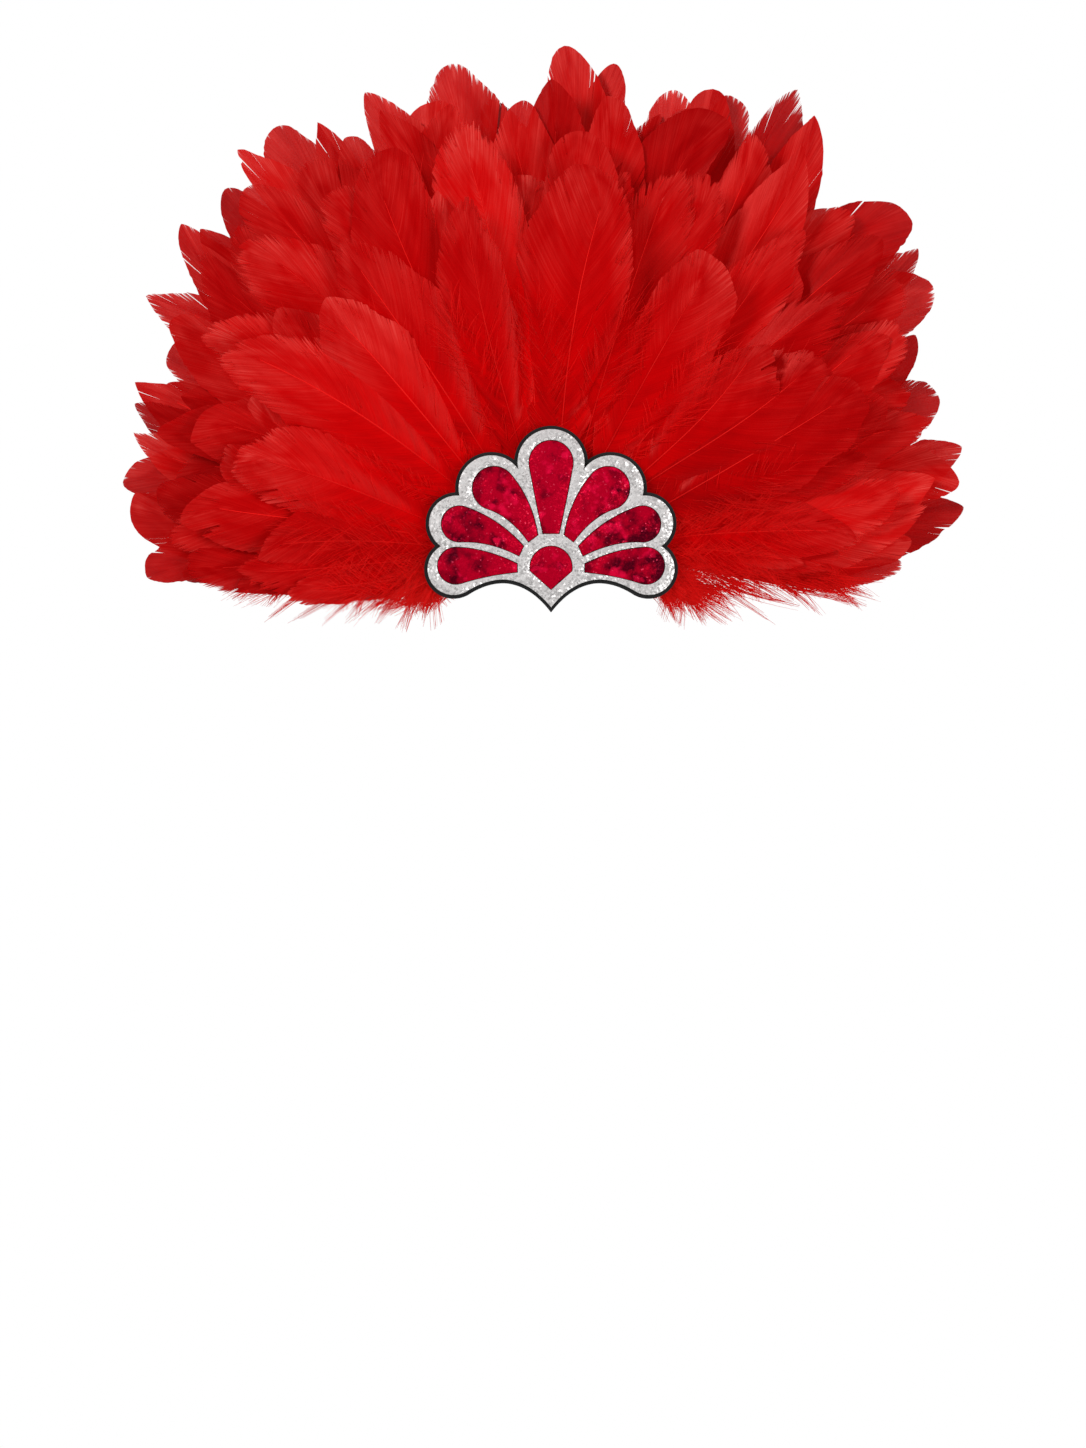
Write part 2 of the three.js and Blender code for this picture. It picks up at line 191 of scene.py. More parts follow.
class Paint:
    """A material under way: its node tree, its surface shader and short ways to add to them."""

    def __init__(self, name: str) -> None:
        """Start a material with an empty surface.

        Args:
            name: Name of the material.
        """
        self.material = bpy.data.materials.new(name)
        self.material.use_nodes = True
        self.tree = self.material.node_tree
        self.surface = self.tree.nodes["Principled BSDF"]

    def add(
        self, kind: str, inputs: dict[str | int, object] | None = None, **settings: object
    ) -> bpy.types.Node:
        """Add a node.

        Args:
            kind: Blender's type name of the node.
            inputs: Values or output sockets for the node's inputs, by name or number.
            settings: Values for the node's own properties.

        Returns:
            The node.
        """
        node = self.tree.nodes.new(kind)
        for name, value in settings.items():
            setattr(node, name, value)
        for name, value in (inputs or {}).items():
            self.feed(node.inputs[name], value)
        return node

    def feed(self, socket: bpy.types.NodeSocket, value: object) -> None:
        """Set an input socket to a value, or link an output socket to it.

        Args:
            socket: The input socket.
            value: The value or output socket.
        """
        if isinstance(value, bpy.types.NodeSocket):
            self.tree.links.new(value, socket)
        else:
            socket.default_value = value

    def sums(self, operation: str, *values: object) -> bpy.types.NodeSocket:
        """Return the result of a maths node on values or sockets."""
        node = self.add("ShaderNodeMath", dict(enumerate(values)), operation=operation)
        return node.outputs[0]

    def times(self, *values: object) -> bpy.types.NodeSocket:
        """Return the product of two values or sockets."""
        return self.sums("MULTIPLY", *values)

    def plus(self, *values: object) -> bpy.types.NodeSocket:
        """Return the sum of two values or sockets."""
        return self.sums("ADD", *values)

    def span(
        self, value: object, low: float, high: float, to_low: float, to_high: float
    ) -> bpy.types.NodeSocket:
        """Return a value mapped from one range to another and held within it."""
        inputs = {"Value": value, "From Min": low, "From Max": high, "To Min": to_low, "To Max": to_high}
        return self.add("ShaderNodeMapRange", inputs).outputs["Result"]

    def blend(self, share: object, first: object, second: object) -> bpy.types.NodeSocket:
        """Mix two colours or colour sockets.

        Args:
            share: Share of the second colour, as a value or socket.
            first: The colour at share 0.
            second: The colour at share 1.

        Returns:
            The mixed colour's socket.
        """
        node = self.add("ShaderNodeMix", data_type="RGBA")
        for name, value in (("Factor_Float", share), ("A_Color", first), ("B_Color", second)):
            socket = next(s for s in node.inputs if s.identifier == name)
            self.feed(socket, value)
        return next(s for s in node.outputs if s.identifier == "Result_Color")

    def noise(self, vector: object, scale: float, detail: float = 2.0) -> bpy.types.NodeSocket:
        """Return a noise value over a vector."""
        inputs = {"Vector": vector, "Scale": scale, "Detail": detail}
        return self.add("ShaderNodeTexNoise", inputs).outputs["Fac"]

    def place(self) -> bpy.types.NodeSocket:
        """Return the object coordinates."""
        return self.add("ShaderNodeTexCoord").outputs["Object"]

    def finish(self, **inputs: object) -> bpy.types.Material:
        """Feed the surface shader and return the material.

        Args:
            inputs: Values or sockets by the shader's input names, with underscores for spaces.

        Returns:
            The finished material.
        """
        for name, value in inputs.items():
            self.feed(self.surface.inputs[name.replace("_", " ")], value)
        return self.material


Colour = tuple[float, float, float, float]
BLACK: Colour = (0.0, 0.0, 0.0, 1.0)


@dataclass(frozen=True)
class FeatherFinish:
    """Dyed feather: red vanes streaked along the barbs, paler shafts, and painted light that makes the tips
    and edges paler.

    The glow is painted light as well: it stands for light that comes through the fine vanes, and it is
    brighter on the shafts and loose strands.
    """

    deep: Colour = (0.33, 0.0, 0.001, 1.0)
    bright: Colour = (0.66, 0.0, 0.001, 1.0)
    pale: Colour = (0.85, 0.095, 0.080, 1.0)
    shaft: Colour = (0.78, 0.010, 0.009, 1.0)
    lit: Colour = (0.95, 0.018, 0.014, 1.0)
    roughness: float = 0.30
    glow: float = 0.34

    def make(self) -> bpy.types.Material:
        """Make the feather material.

        Returns:
            The material.
        """
        paint = Paint("dyed feather")
        barbs = paint.add("ShaderNodeUVMap", uv_map=UvMap.BARBS.value).outputs["UV"]
        cut = paint.add("ShaderNodeSeparateXYZ", {"Vector": barbs})
        tone, along, shaft, fray = (
            paint.add("ShaderNodeAttribute", attribute_name=mark.value).outputs["Fac"] for mark in Mark
        )
        shift = paint.times(tone, 57.0)

        def streaks(across: float, length: float) -> bpy.types.NodeSocket:
            """Make noise that is drawn out along the barbs.

            Args:
                across: How often it changes from shaft to edge.
                length: How often it changes along a metre of shaft.

            Returns:
                The noise value's socket.
            """
            flat = paint.times(cut.outputs["X"], across)
            tall = paint.times(cut.outputs["Y"], length)
            vector = paint.add("ShaderNodeCombineXYZ", {"X": flat, "Y": tall, "Z": shift})
            return paint.noise(vector.outputs["Vector"], 1.0)

        # Streaks of tone along the barbs, stronger near the root, and painted shade that darkens each vane
        # towards its root
        fine = streaks(1.6, 1300.0)
        broad = streaks(1.2, 150.0)
        patch = streaks(2.2, 30.0)
        shade = paint.plus(
            paint.span(fine, 0.3, 0.7, -0.07, 0.07), paint.span(broad, 0.3, 0.7, -0.1, 0.1)
        )
        shade = paint.plus(shade, paint.span(patch, 0.3, 0.7, -0.12, 0.12))
        shade = paint.times(shade, paint.span(along, 0.1, 0.6, 2.0, 1.0))
        shade = paint.sums("SUBTRACT", shade, paint.span(along, 0.05, 0.5, 0.13, 0.0))
        body = paint.blend(paint.plus(tone, shade), self.deep, self.bright)

        # Painted light: the barbs are painted pale towards the tip and the edge, for light that comes
        # through and glances off them there, more on lighter feathers and along the barb lines
        out = paint.sums("ABSOLUTE", cut.outputs["X"])
        edge = paint.span(out, 0.6, 1.0, 0.0, 0.35)
        painted_tip_light = paint.plus(paint.span(along, 0.5, 1.0, 0.0, 0.65), edge)
        painted_tip_light = paint.times(painted_tip_light, paint.span(tone, 0.4, 0.95, 0.2, 1.3))
        painted_tip_light = paint.times(painted_tip_light, paint.span(patch, 0.38, 0.62, 0.2, 1.0))
        lines = paint.times(
            paint.span(fine, 0.46, 0.7, 0.0, 1.0), paint.span(broad, 0.35, 0.6, 0.4, 1.0)
        )
        painted_tip_light = paint.times(painted_tip_light, paint.span(lines, 0.0, 1.0, 0.22, 0.9))
        body = paint.blend(painted_tip_light, body, self.pale)

        # Shafts and strands
        shown = paint.times(shaft, paint.span(along, 0.2, 0.7, 0.1, 1.0))
        body = paint.blend(shown, body, self.shaft)

        # Frayed ends of the barbs
        comb = paint.plus(paint.times(streaks(0.8, 420.0), 0.6), paint.times(fine, 0.4))
        frayed = paint.times(fray, paint.span(along, 0.3, 1.0, 0.6, 1.0))
        frayed = paint.times(frayed, paint.span(patch, 0.35, 0.65, 0.7, 1.1))
        frayed = paint.times(frayed, paint.span(out, 0.65, 1.0, 0.0, 0.6))
        teeth = paint.span(paint.sums("SUBTRACT", comb, frayed), 0.02, 0.12, 0.0, 1.0)
        sheer = paint.times(fray, paint.span(along, 0.7, 1.0, 0.0, 0.16))
        bump = paint.add(
            "ShaderNodeBump", {"Strength": 0.2, "Distance": 0.0004, "Height": paint.plus(fine, broad)}
        )
        # Painted light: the vanes glow with half their own colour, and the shafts and strands glow brighter,
        # for light that comes through them
        return paint.finish(
            Base_Color=body,
            Roughness=paint.span(fine, 0.3, 0.7, self.roughness - 0.08, self.roughness + 0.08),
            Specular_IOR_Level=0.28,
            Specular_Tint=(1.0, 0.12, 0.10, 1.0),
            Emission_Color=paint.blend(shown, paint.blend(0.5, body, BLACK), self.lit),
            Emission_Strength=self.glow,
            Alpha=paint.sums("SUBTRACT", teeth, sheer),
            Normal=bump.outputs["Normal"],
        )


def facet_group() -> bpy.types.NodeTree:
    """Make the node group of tiny tilted facets shared by the glitter and the foil.

    Returns:
        A group with inputs for facet scale and tilt, and outputs for a chance per facet and its normal.
    """
    group = bpy.data.node_groups.new("facets", "ShaderNodeTree")
    for name, value in (("Scale", 1200.0), ("Tilt", 0.4)):
        group.interface.new_socket(name, in_out="INPUT", socket_type="NodeSocketFloat").default_value = value
    group.interface.new_socket("Chance", in_out="OUTPUT", socket_type="NodeSocketFloat")
    group.interface.new_socket("Normal", in_out="OUTPUT", socket_type="NodeSocketVector")
    add, link = group.nodes.new, group.links.new
    given, made = add("NodeGroupInput"), add("NodeGroupOutput")
    place, facing = add("ShaderNodeTexCoord"), add("ShaderNodeNewGeometry")
    cells, parts = add("ShaderNodeTexVoronoi"), add("ShaderNodeSeparateColor")
    centred, tilted, summed, level = (add("ShaderNodeVectorMath") for _ in range(4))
    centred.operation, tilted.operation = "SUBTRACT", "SCALE"
    summed.operation, level.operation = "ADD", "NORMALIZE"
    centred.inputs[1].default_value = (0.5, 0.5, 0.5)
    link(place.outputs["Object"], cells.inputs["Vector"])
    link(given.outputs["Scale"], cells.inputs["Scale"])
    link(cells.outputs["Color"], parts.inputs["Color"])
    link(cells.outputs["Color"], centred.inputs[0])
    link(centred.outputs["Vector"], tilted.inputs[0])
    link(given.outputs["Tilt"], tilted.inputs["Scale"])
    link(facing.outputs["Normal"], summed.inputs[0])
    link(tilted.outputs["Vector"], summed.inputs[1])
    link(summed.outputs["Vector"], level.inputs[0])
    link(parts.outputs["Red"], made.inputs["Chance"])
    link(level.outputs["Vector"], made.inputs["Normal"])
    return group


@dataclass(frozen=True)
class GlitterFinish:
    """Silver glitter sheet: a close mosaic of tilted flakes, painted bright or dull at random as painted
    glints.
    """

    dull: Colour = (0.55, 0.53, 0.525, 1.0)
    silver: Colour = (1.0, 0.97, 0.96, 1.0)
    flakes_per_metre: float = 1100.0
    tilt: float = 0.45

    def make(self, facets: bpy.types.NodeTree) -> bpy.types.Material:
        """Return the glitter material.

        Args:
            facets: The shared group of tilted facets.

        Returns:
            The material.
        """
        paint = Paint("silver glitter")
        flakes = paint.add("ShaderNodeGroup", node_tree=facets)
        paint.feed(flakes.inputs["Scale"], self.flakes_per_metre)
        paint.feed(flakes.inputs["Tilt"], self.tilt)
        chance = flakes.outputs["Chance"]
        # Painted glints: each flake is coloured bright or dull at random, on top of its tilted normal
        return paint.finish(
            Base_Color=paint.blend(paint.span(chance, 0.1, 0.7, 0.0, 1.0), self.dull, self.silver),
            Metallic=0.3,
            Roughness=paint.span(chance, 0.0, 1.0, 0.5, 0.25),
            Normal=flakes.outputs["Normal"],
        )


@dataclass(frozen=True)
class FoilFinish:
    """Crimson holographic foil with painted light: dark reflections, darker towards the sides and most at
    the lower right, bright red highlights and rosy glints.
    """

    maroon: Colour = (0.09, 0.0, 0.008, 1.0)
    crimson: Colour = (0.58, 0.0, 0.020, 1.0)
    gleam_red: Colour = (0.95, 0.004, 0.055, 1.0)
    glint_pink: Colour = (0.95, 0.06, 0.14, 1.0)
    sparks_per_metre: float = 1500.0
    tilt: float = 0.35
    gleam_seed: float = 3.0

    def make(self, facets: bpy.types.NodeTree) -> bpy.types.Material:
        """Return the foil material.

        Args:
            facets: The shared group of tilted facets.

        Returns:
            The material.
        """
        paint = Paint("crimson foil")
        sparks = paint.add("ShaderNodeGroup", node_tree=facets)
        paint.feed(sparks.inputs["Scale"], self.sparks_per_metre)
        paint.feed(sparks.inputs["Tilt"], self.tilt)
        chance = sparks.outputs["Chance"]
        place = paint.place()
        spot = paint.add("ShaderNodeSeparateXYZ", {"Vector": place})
        # Painted dark reflections: noise patches, darker towards the sides and most at the lower right, with
        # each facet a little lighter or darker
        edge = paint.span(paint.sums("ABSOLUTE", spot.outputs["X"]), 0.012, 0.04, -0.03, 0.10)
        corner = paint.times(
            paint.span(spot.outputs["X"], 0.015, 0.05, 0.0, 0.13),
            paint.span(spot.outputs["Z"], 0.015, -0.015, 0.0, 1.0),
        )
        dark_reflection = paint.sums("SUBTRACT", paint.noise(place, 130.0, 3.0), paint.plus(edge, corner))
        light = paint.plus(
            paint.span(dark_reflection, 0.25, 0.48, 0.0, 1.0), paint.span(chance, 0.0, 1.0, -0.12, 0.12)
        )
        body = paint.blend(light, self.maroon, self.crimson)
        # Painted highlights: bright red gleams from a second noise, and rosy glints on rare facets
        gleam = paint.add(
            "ShaderNodeTexNoise",
            {"Vector": place, "Scale": 150.0, "Detail": 4.0},
            noise_dimensions="4D",
        )
        paint.feed(gleam.inputs["W"], self.gleam_seed)
        body = paint.blend(paint.span(gleam.outputs["Fac"], 0.56, 0.66, 0.0, 0.9), body, self.gleam_red)
        body = paint.blend(paint.span(chance, 0.98, 0.995, 0.0, 0.7), body, self.glint_pink)
        return paint.finish(
            Base_Color=body,
            Metallic=0.2,
            Roughness=0.35,
            Specular_IOR_Level=0.14,
            Specular_Tint=(1.0, 0.15, 0.25, 1.0),
            Normal=sparks.outputs["Normal"],
        )


@dataclass(frozen=True)
class GrainFinish:
    """A plain material with a fine grain: foam, satin cover, felt or floor."""

    name: str
    low: Colour
    high: Colour
    grain_per_metre: float
    roughness: float
    depth: float = 0.0002
    sheen: float = 0.0

    def make(self) -> bpy.types.Material:
        """Make the material.

        Returns:
            The material.
        """
        paint = Paint(self.name)
        grain = paint.noise(paint.place(), self.grain_per_metre, 3.0)
        bump = paint.add("ShaderNodeBump", {"Strength": 0.4, "Distance": self.depth, "Height": grain})
        return paint.finish(
            Base_Color=paint.blend(paint.span(grain, 0.3, 0.7, 0.0, 1.0), self.low, self.high),
            Roughness=paint.span(grain, 0.3, 0.7, self.roughness - 0.06, self.roughness + 0.06),
            Sheen_Weight=self.sheen,
            Normal=bump.outputs["Normal"],
        )


FOAM = GrainFinish(
    "black foam", (0.004, 0.004, 0.004, 1.0), (0.010, 0.010, 0.011, 1.0),
    grain_per_metre=2600.0, roughness=0.85,
)
SATIN = GrainFinish(
    "black satin", (0.012, 0.011, 0.013, 1.0), (0.026, 0.024, 0.028, 1.0),
    grain_per_metre=1800.0, roughness=0.42, depth=0.0001, sheen=0.3,
)
FELT = GrainFinish(
    "red felt", (0.24, 0.002, 0.004, 1.0), (0.42, 0.006, 0.008, 1.0),
    grain_per_metre=1400.0, roughness=0.9, depth=0.0006, sheen=0.2,
)
FLOOR = GrainFinish(
    "pale floor", (0.86, 0.86, 0.86, 1.0), (0.92, 0.92, 0.92, 1.0),
    grain_per_metre=30.0, roughness=0.8,
)


class MeshParts:
    """Points, faces and marks of many small shapes gathered into one joined mesh."""

    def __init__(self) -> None:
        """Start with nothing gathered."""
        self.points: list[np.ndarray] = []
        self.faces: list[tuple[int, ...]] = []
        self.marks: dict[Mark, list[np.ndarray]] = {mark: [] for mark in Mark}
        self.maps: dict[UvMap, list[np.ndarray]] = {uv_map: [] for uv_map in UvMap}
        self.count = 0

    def gather(
        self,
        points: np.ndarray,
        faces: list[tuple[int, ...]],
        marks: dict[Mark, np.ndarray | float],
        maps: dict[UvMap, np.ndarray],
    ) -> None:
        """Take in one shape.

        Args:
            points: Its points, one row each.
            faces: Its faces as numbers of its own points.
            marks: A value or one value a point for each mark.
            maps: One pair a point for each UV map.
        """
        self.points.append(points)
        self.faces.extend(tuple(self.count + corner for corner in face) for face in faces)
        for mark in Mark:
            self.marks[mark].append(np.broadcast_to(marks[mark], len(points)))
        for uv_map in UvMap:
            self.maps[uv_map].append(maps[uv_map])
        self.count += len(points)

    def to_object(self, name: str) -> bpy.types.Object:
        """Return the gathered shapes as one smooth mesh object.

        Args:
            name: Name of the object.

        Returns:
            The object, linked into the scene.
        """
        mesh = bpy.data.meshes.new(name)
        mesh.from_pydata(np.concatenate(self.points).tolist(), [], self.faces)
        for mark, values in self.marks.items():
            attribute = mesh.attributes.new(mark.value, "FLOAT", "POINT")
            attribute.data.foreach_set("value", np.concatenate(values).astype(np.float32))
        corners = np.empty(len(mesh.loops), dtype=np.int32)
        mesh.loops.foreach_get("vertex_index", corners)
        for uv_map, pairs in self.maps.items():
            layer = mesh.uv_layers.new(name=uv_map.value)
            layer.data.foreach_set("uv", np.concatenate(pairs)[corners].astype(np.float32).ravel())
        mesh.shade_smooth()
        piece = bpy.data.objects.new(name, mesh)
        bpy.context.scene.collection.objects.link(piece)
        return piece


def tubes(
    parts: MeshParts,
    lines: np.ndarray,
    radii: np.ndarray,
    sides: int,
    marks: dict[Mark, np.ndarray],
    maps: dict[UvMap, np.ndarray],
) -> None:
    """Add closed tubes along many lines to a mesh.

    Args:
        parts: The mesh to add to.
        lines: Points of each line, shaped lines by stations by three.
        radii: Radius at each point, shaped lines by stations.
        sides: Number of sides of a tube.
        marks: One value for each line and mark.
        maps: One pair for each line, station and UV map.
    """
    stations = lines.shape[1]
    forward = unit(np.gradient(lines, axis=1))
    aside = unit(np.cross(forward, np.array([0.0, 1.0, 0.02])))
    above = np.cross(forward, aside)
    turns = np.arange(sides) * 2.0 * math.pi / sides
    rim = aside[:, :, None] * np.cos(turns)[:, None] + above[:, :, None] * np.sin(turns)[:, None]
    rings = lines[:, :, None] + radii[:, :, None, None] * rim
    faces: list[tuple[int, ...]] = [tuple(range(sides))[::-1]]
    for station in range(stations - 1):
        for side in range(sides):
            start, step = station * sides, (side + 1) % sides
            faces.append((start + side, start + step, start + sides + step, start + sides + side))
    faces.append(tuple((stations - 1) * sides + side for side in range(sides)))
    for line in range(len(lines)):
        parts.gather(
            rings[line].reshape(-1, 3),
            faces,
            {mark: np.repeat(values[line], sides) for mark, values in marks.items()},
            {uv_map: np.repeat(pairs[line], sides, axis=0) for uv_map, pairs in maps.items()},
        )


@dataclass(frozen=True)
class VaneForm:
    """Sizes and shares that every feather has in common."""

    stations: int = 64
    columns: tuple[float, ...] = (0.0, 0.12, 0.3, 0.5, 0.68, 0.85, 1.0)
    start_radius: float = 54 * MM
    shaft_share: float = 0.87
    foot_share: float = 0.24
    gather: float = 1.4
    thickness: float = 0.14 * MM
    quill_radius: float = 30 * MM
    lift: float = 1.4 * MM
    lift_radii: tuple[float, float] = (66 * MM, 140 * MM)
    slant_radii: tuple[float, float] = (50 * MM, 110 * MM)
    lean_start_radius: float = 74 * MM
    lean_ease: float = 14 * MM
    curl_share: float = 0.05
    droop_deg: float = 7.0
    sway_deg: float = 2.0
    shingle_deg: float = 6.0
    shaft_root: float = 0.5 * MM
    shaft_tip: float = 0.12 * MM
    shaft_stations: int = 14
    shaft_sides: int = 5
    barb_curve: float = 1.3
    cup_curve: float = 1.7
    skew_curve: float = 1.5
    clump_step: float = 1.1 * MM
    notch_roots: tuple[float, ...] = (0.68, 0.68, 0.68, 0.85, 0.85)
    notch_close: float = 0.49
    downy_reach: float = 156 * MM
    tone_spread: float = 0.22
    darkest: float = 0.18


FORM = VaneForm()


@dataclass
class Feather:
    """One feather of a row: its shaft's path and its vane."""

    angle_deg: float
    reach: float
    width: float
    lean_deg: float
    layer: int
    order: int
    dice: np.random.Generator
    yaw_deg: float = field(init=False)
    bow_deg: float = field(init=False)
    lift: float = field(init=False)
    tone: float = field(init=False)
    curl: float = field(init=False)
    cup: float = field(init=False)
    tip_power: float = field(init=False)
    skew: float = field(init=False)
    uneven: float = field(init=False)
    slant_deg: float = field(init=False)
    twist_deg: float = field(init=False)
    shaft_show: float = field(init=False)
    fray: float = field(init=False)

    def __post_init__(self) -> None:
        """Draw what differs from feather to feather."""
        self.yaw_deg = self.dice.uniform(-6.0, 6.0)
        self.bow_deg = self.dice.uniform(-3.5, 3.5)
        self.lift = (FORM.lift if self.order % 2 else -FORM.lift) + self.dice.uniform(-0.6, 0.6) * MM
        turn = math.radians(self.angle_deg)
        # Painted light and shade: the mean tone is higher to the right and the upper left and lower to the
        # left and the upper right; each feather's tone differs at random about it
        lit_tone_mean = 0.6 + 0.13 * math.cos(turn) - 0.15 * math.sin(2.0 * turn)
        self.tone = float(np.clip(self.dice.normal(lit_tone_mean, FORM.tone_spread), FORM.darkest, 1.0))
        self.curl = self.dice.normal(0.0, 0.022) * self.reach
        self.cup = self.dice.uniform(0.04, 0.30)
        self.tip_power = self.dice.uniform(0.34, 0.9)
        self.skew = self.dice.uniform(-0.22, 0.22) * self.width
        self.uneven = self.dice.uniform(-0.22, 0.22)
        self.slant_deg = FORM.shingle_deg + self.dice.uniform(-3.0, 3.0)
        self.twist_deg = self.dice.normal(0.0, 9.0)
        self.shaft_show = self.dice.uniform(0.3, 1.0)
        self.fray = self.dice.uniform(0.35, 0.8) + 0.09 * min(self.layer, 2)

    def path(self, radius: np.ndarray) -> np.ndarray:
        """Find points on the shaft.

        Args:
            radius: Radii from the hub.

        Returns:
            One point for each radius.
        """
        along = (radius - FORM.quill_radius) / (self.reach - FORM.quill_radius)
        droop = -FORM.droop_deg * math.cos(math.radians(self.angle_deg))
        sway = FORM.sway_deg if self.order % 2 else -FORM.sway_deg
        short = np.clip(1.0 - along, 0.0, None)
        bow = self.bow_deg * np.sin(np.pi * np.clip(along, 0.0, 1.0))
        angle = np.radians(self.angle_deg - (sway + droop) * short**1.5 - self.yaw_deg * short + bow)
        past = np.clip(radius - FORM.lean_start_radius, 0.0, None)
        lean = math.tan(math.radians(self.lean_deg)) * past * past / (past + FORM.lean_ease)
        free = past / (self.reach - FORM.lean_start_radius)
        curl = FORM.curl_share * past * free**2 + self.curl * free**2.5
        lift = self.lift * smoothstep(radius, *FORM.lift_radii)
        y = tape_front(self.layer) + TAPE_THICKNESS / 2 - lean + curl + lift
        return np.stack([radius * np.cos(angle), y, HUB_Z + radius * np.sin(angle)], axis=-1)

    def half_widths(self, share: np.ndarray) -> np.ndarray:
        """Find the vane's half widths: a soft base, a broad middle, a round tip.

        Args:
            share: Shares of the vane's length.

        Returns:
            One half width for each share.
        """
        rise = 0.3 + 0.7 * np.sin(np.pi / 2 * np.clip(share / 0.55, 0.0, 1.0))
        fall = (1.0 - np.clip((share - 0.5) / 0.5, 0.0, 1.0) ** 2.6) ** self.tip_power
        return self.width / 2 * rise * fall

    def end_radius(self) -> float:
        """Return the radius where the shaft ends, short of the tip barbs."""
        return FORM.start_radius + FORM.shaft_share * (self.reach - FORM.start_radius)

    def grid(self, share: np.ndarray) -> tuple[np.ndarray, np.ndarray, np.ndarray, np.ndarray]:
        """Find the shaft's points and the directions about them.

        Args:
            share: Shares of the shaft's length.

        Returns:
            The points, and the directions forward, across and facing.
        """
        radius = FORM.start_radius + share * (self.end_radius() - FORM.start_radius)
        centre = self.path(radius)
        forward = unit(np.gradient(centre, axis=0))
        slant = self.slant_deg + self.twist_deg * share**2
        lean = np.tan(np.radians(slant)) * smoothstep(radius, *FORM.slant_radii)
        across = unit(np.stack([-forward[:, 2], lean, forward[:, 0]], axis=-1))
        return centre, forward, across, np.cross(forward, across)

    def reached(self, share: np.ndarray) -> np.ndarray:
        """Return the shares of the vane's length that barbs from shares of the shaft reach."""
        return 1.0 - (1.0 - FORM.foot_share) * (1.0 - share) ** FORM.gather

    def on_barbs(self, share: np.ndarray, hand: np.ndarray, out: np.ndarray) -> np.ndarray:
        """Return points on single barbs.

        Args:
            share: Where each barb leaves the shaft, in rising order.
            hand: 1 for a barb on the left of the shaft, -1 on the right.
            out: How far along the barb each point lies; past 1 it is beyond the vane's edge.

        Returns:
            The points.
        """
        centre, forward, across, facing = self.grid(share)
        reached = self.reached(share)
        half = self.half_widths(reached) * (1.0 + hand * self.uneven)
        aside = hand * half * out + self.skew * share**4 * out**FORM.skew_curve
        run = (reached - FORM.shaft_share * share) * (self.reach - FORM.start_radius)
        ahead = run * out**FORM.barb_curve
        sunk = self.cup * half * out**FORM.cup_curve
        return centre + across * aside[:, None] + forward * ahead[:, None] - facing * sunk[:, None]

    def clumps(self, ahead: np.ndarray, side: np.ndarray) -> list[tuple[float, int]]:
        """Let the barbs on both sides end in clumps of uneven length.

        Args:
            ahead: Run of each grid point along the shaft, changed in place.
            side: Share of the half width of each column, negative on the right.

        Returns:
            The side and the row of each parting between clumps.
        """
        rows = np.arange(len(ahead))
        fade = np.clip((len(rows) - 1 - rows) / 6.0, 0.0, 1.0)
        partings = []
        for hand in (-1.0, 1.0):
            cuts = 4 + (len(rows) - 9) * self.dice.uniform(0.1, 1.0, self.dice.integers(1, 7)) ** 0.6
            cuts = np.unique(cuts.astype(int))
            steps = self.dice.normal(0.0, FORM.clump_step, len(cuts) + 1)[np.searchsorted(cuts, rows)]
            ahead += np.outer(steps * fade, np.clip(side * hand, 0.0, 1.0) ** 2)
            partings.extend((hand, cut) for cut in cuts.tolist())
        return partings

    def notch(self, points: np.ndarray, side: np.ndarray, kept: np.ndarray, hand: float, cut: int) -> None:
        """Open one parting as a wedge from the edge.

        Args:
            points: Grid points of the vane, changed in place.
            side: Share of the half width of each column, negative on the right.
            kept: Which grid cells stay, changed in place.
            hand: 1 for the left side, -1 for the right.
            cut: Row of the parting.
        """
        root = self.dice.choice(np.array(FORM.notch_roots))
        opening = self.dice.uniform(0.0, 0.95) ** 3
        open_share = np.clip((side * hand - root) / (1.0 - root), 0.0, 1.0)
        near = np.where(side * hand >= root, FORM.notch_close * (1.0 - opening * open_share), 0.0)
        shift = near[:, None] * (points[cut + 1] - points[cut])
        points[cut] += shift
        points[cut + 1] -= shift
        kept[cut, np.minimum(side[:-1] * hand, side[1:] * hand) >= root] = False

    def add_vane(self, parts: MeshParts, cell: np.ndarray, cell_size: float) -> None:
        """Add the feather's vane as one open sheet.

        Args:
            parts: The mesh to add to.
            cell: Lower left corner of its square on the baking sheet.
            cell_size: Side of that square.
        """
        share = np.linspace(0.0, 1.0, FORM.stations)
        centre, forward, across, facing = self.grid(share)
        length = self.reach - FORM.start_radius
        reached = self.reached(share)
        columns = np.array(FORM.columns)
        side = np.concatenate([-columns[:0:-1], columns])
        out = np.abs(side)
        uneven = 1.0 + np.sign(side) * self.uneven
        ragged = self.dice.normal(1.0, 0.016, (len(share), 2))
        swells = self.dice.uniform(1.5, 4.0, 2) * share[:, None] + self.dice.uniform(0.0, 1.0, 2)
        ragged = ragged + 0.05 * np.sin(2.0 * math.pi * swells)
        ragged = np.where(side < 0.0, ragged[:, :1], ragged[:, 1:])
        width = self.half_widths(reached)[:, None] * uneven * ragged
        ahead = ((reached - FORM.shaft_share * share) * length)[:, None] * out**FORM.barb_curve
        ribs = self.dice.normal(0.0, 0.03 * MM, len(share))[:, None] * np.clip(3.0 * out, 0.0, 1.0)
        turns = 2.0 * math.pi * (1.5 * share + self.dice.uniform())
        wave = self.dice.uniform(0.01, 0.06) * width * np.sin(turns)[:, None] * side * out
        rise = ribs + wave - self.cup * width * out**FORM.cup_curve
        partings = self.clumps(ahead, side)
        aside = side * width + self.skew * np.outer(share**4, out**FORM.skew_curve)
        points = centre[:, None] + across[:, None] * aside[..., None]
        points = points + forward[:, None] * ahead[..., None] + facing[:, None] * rise[..., None]
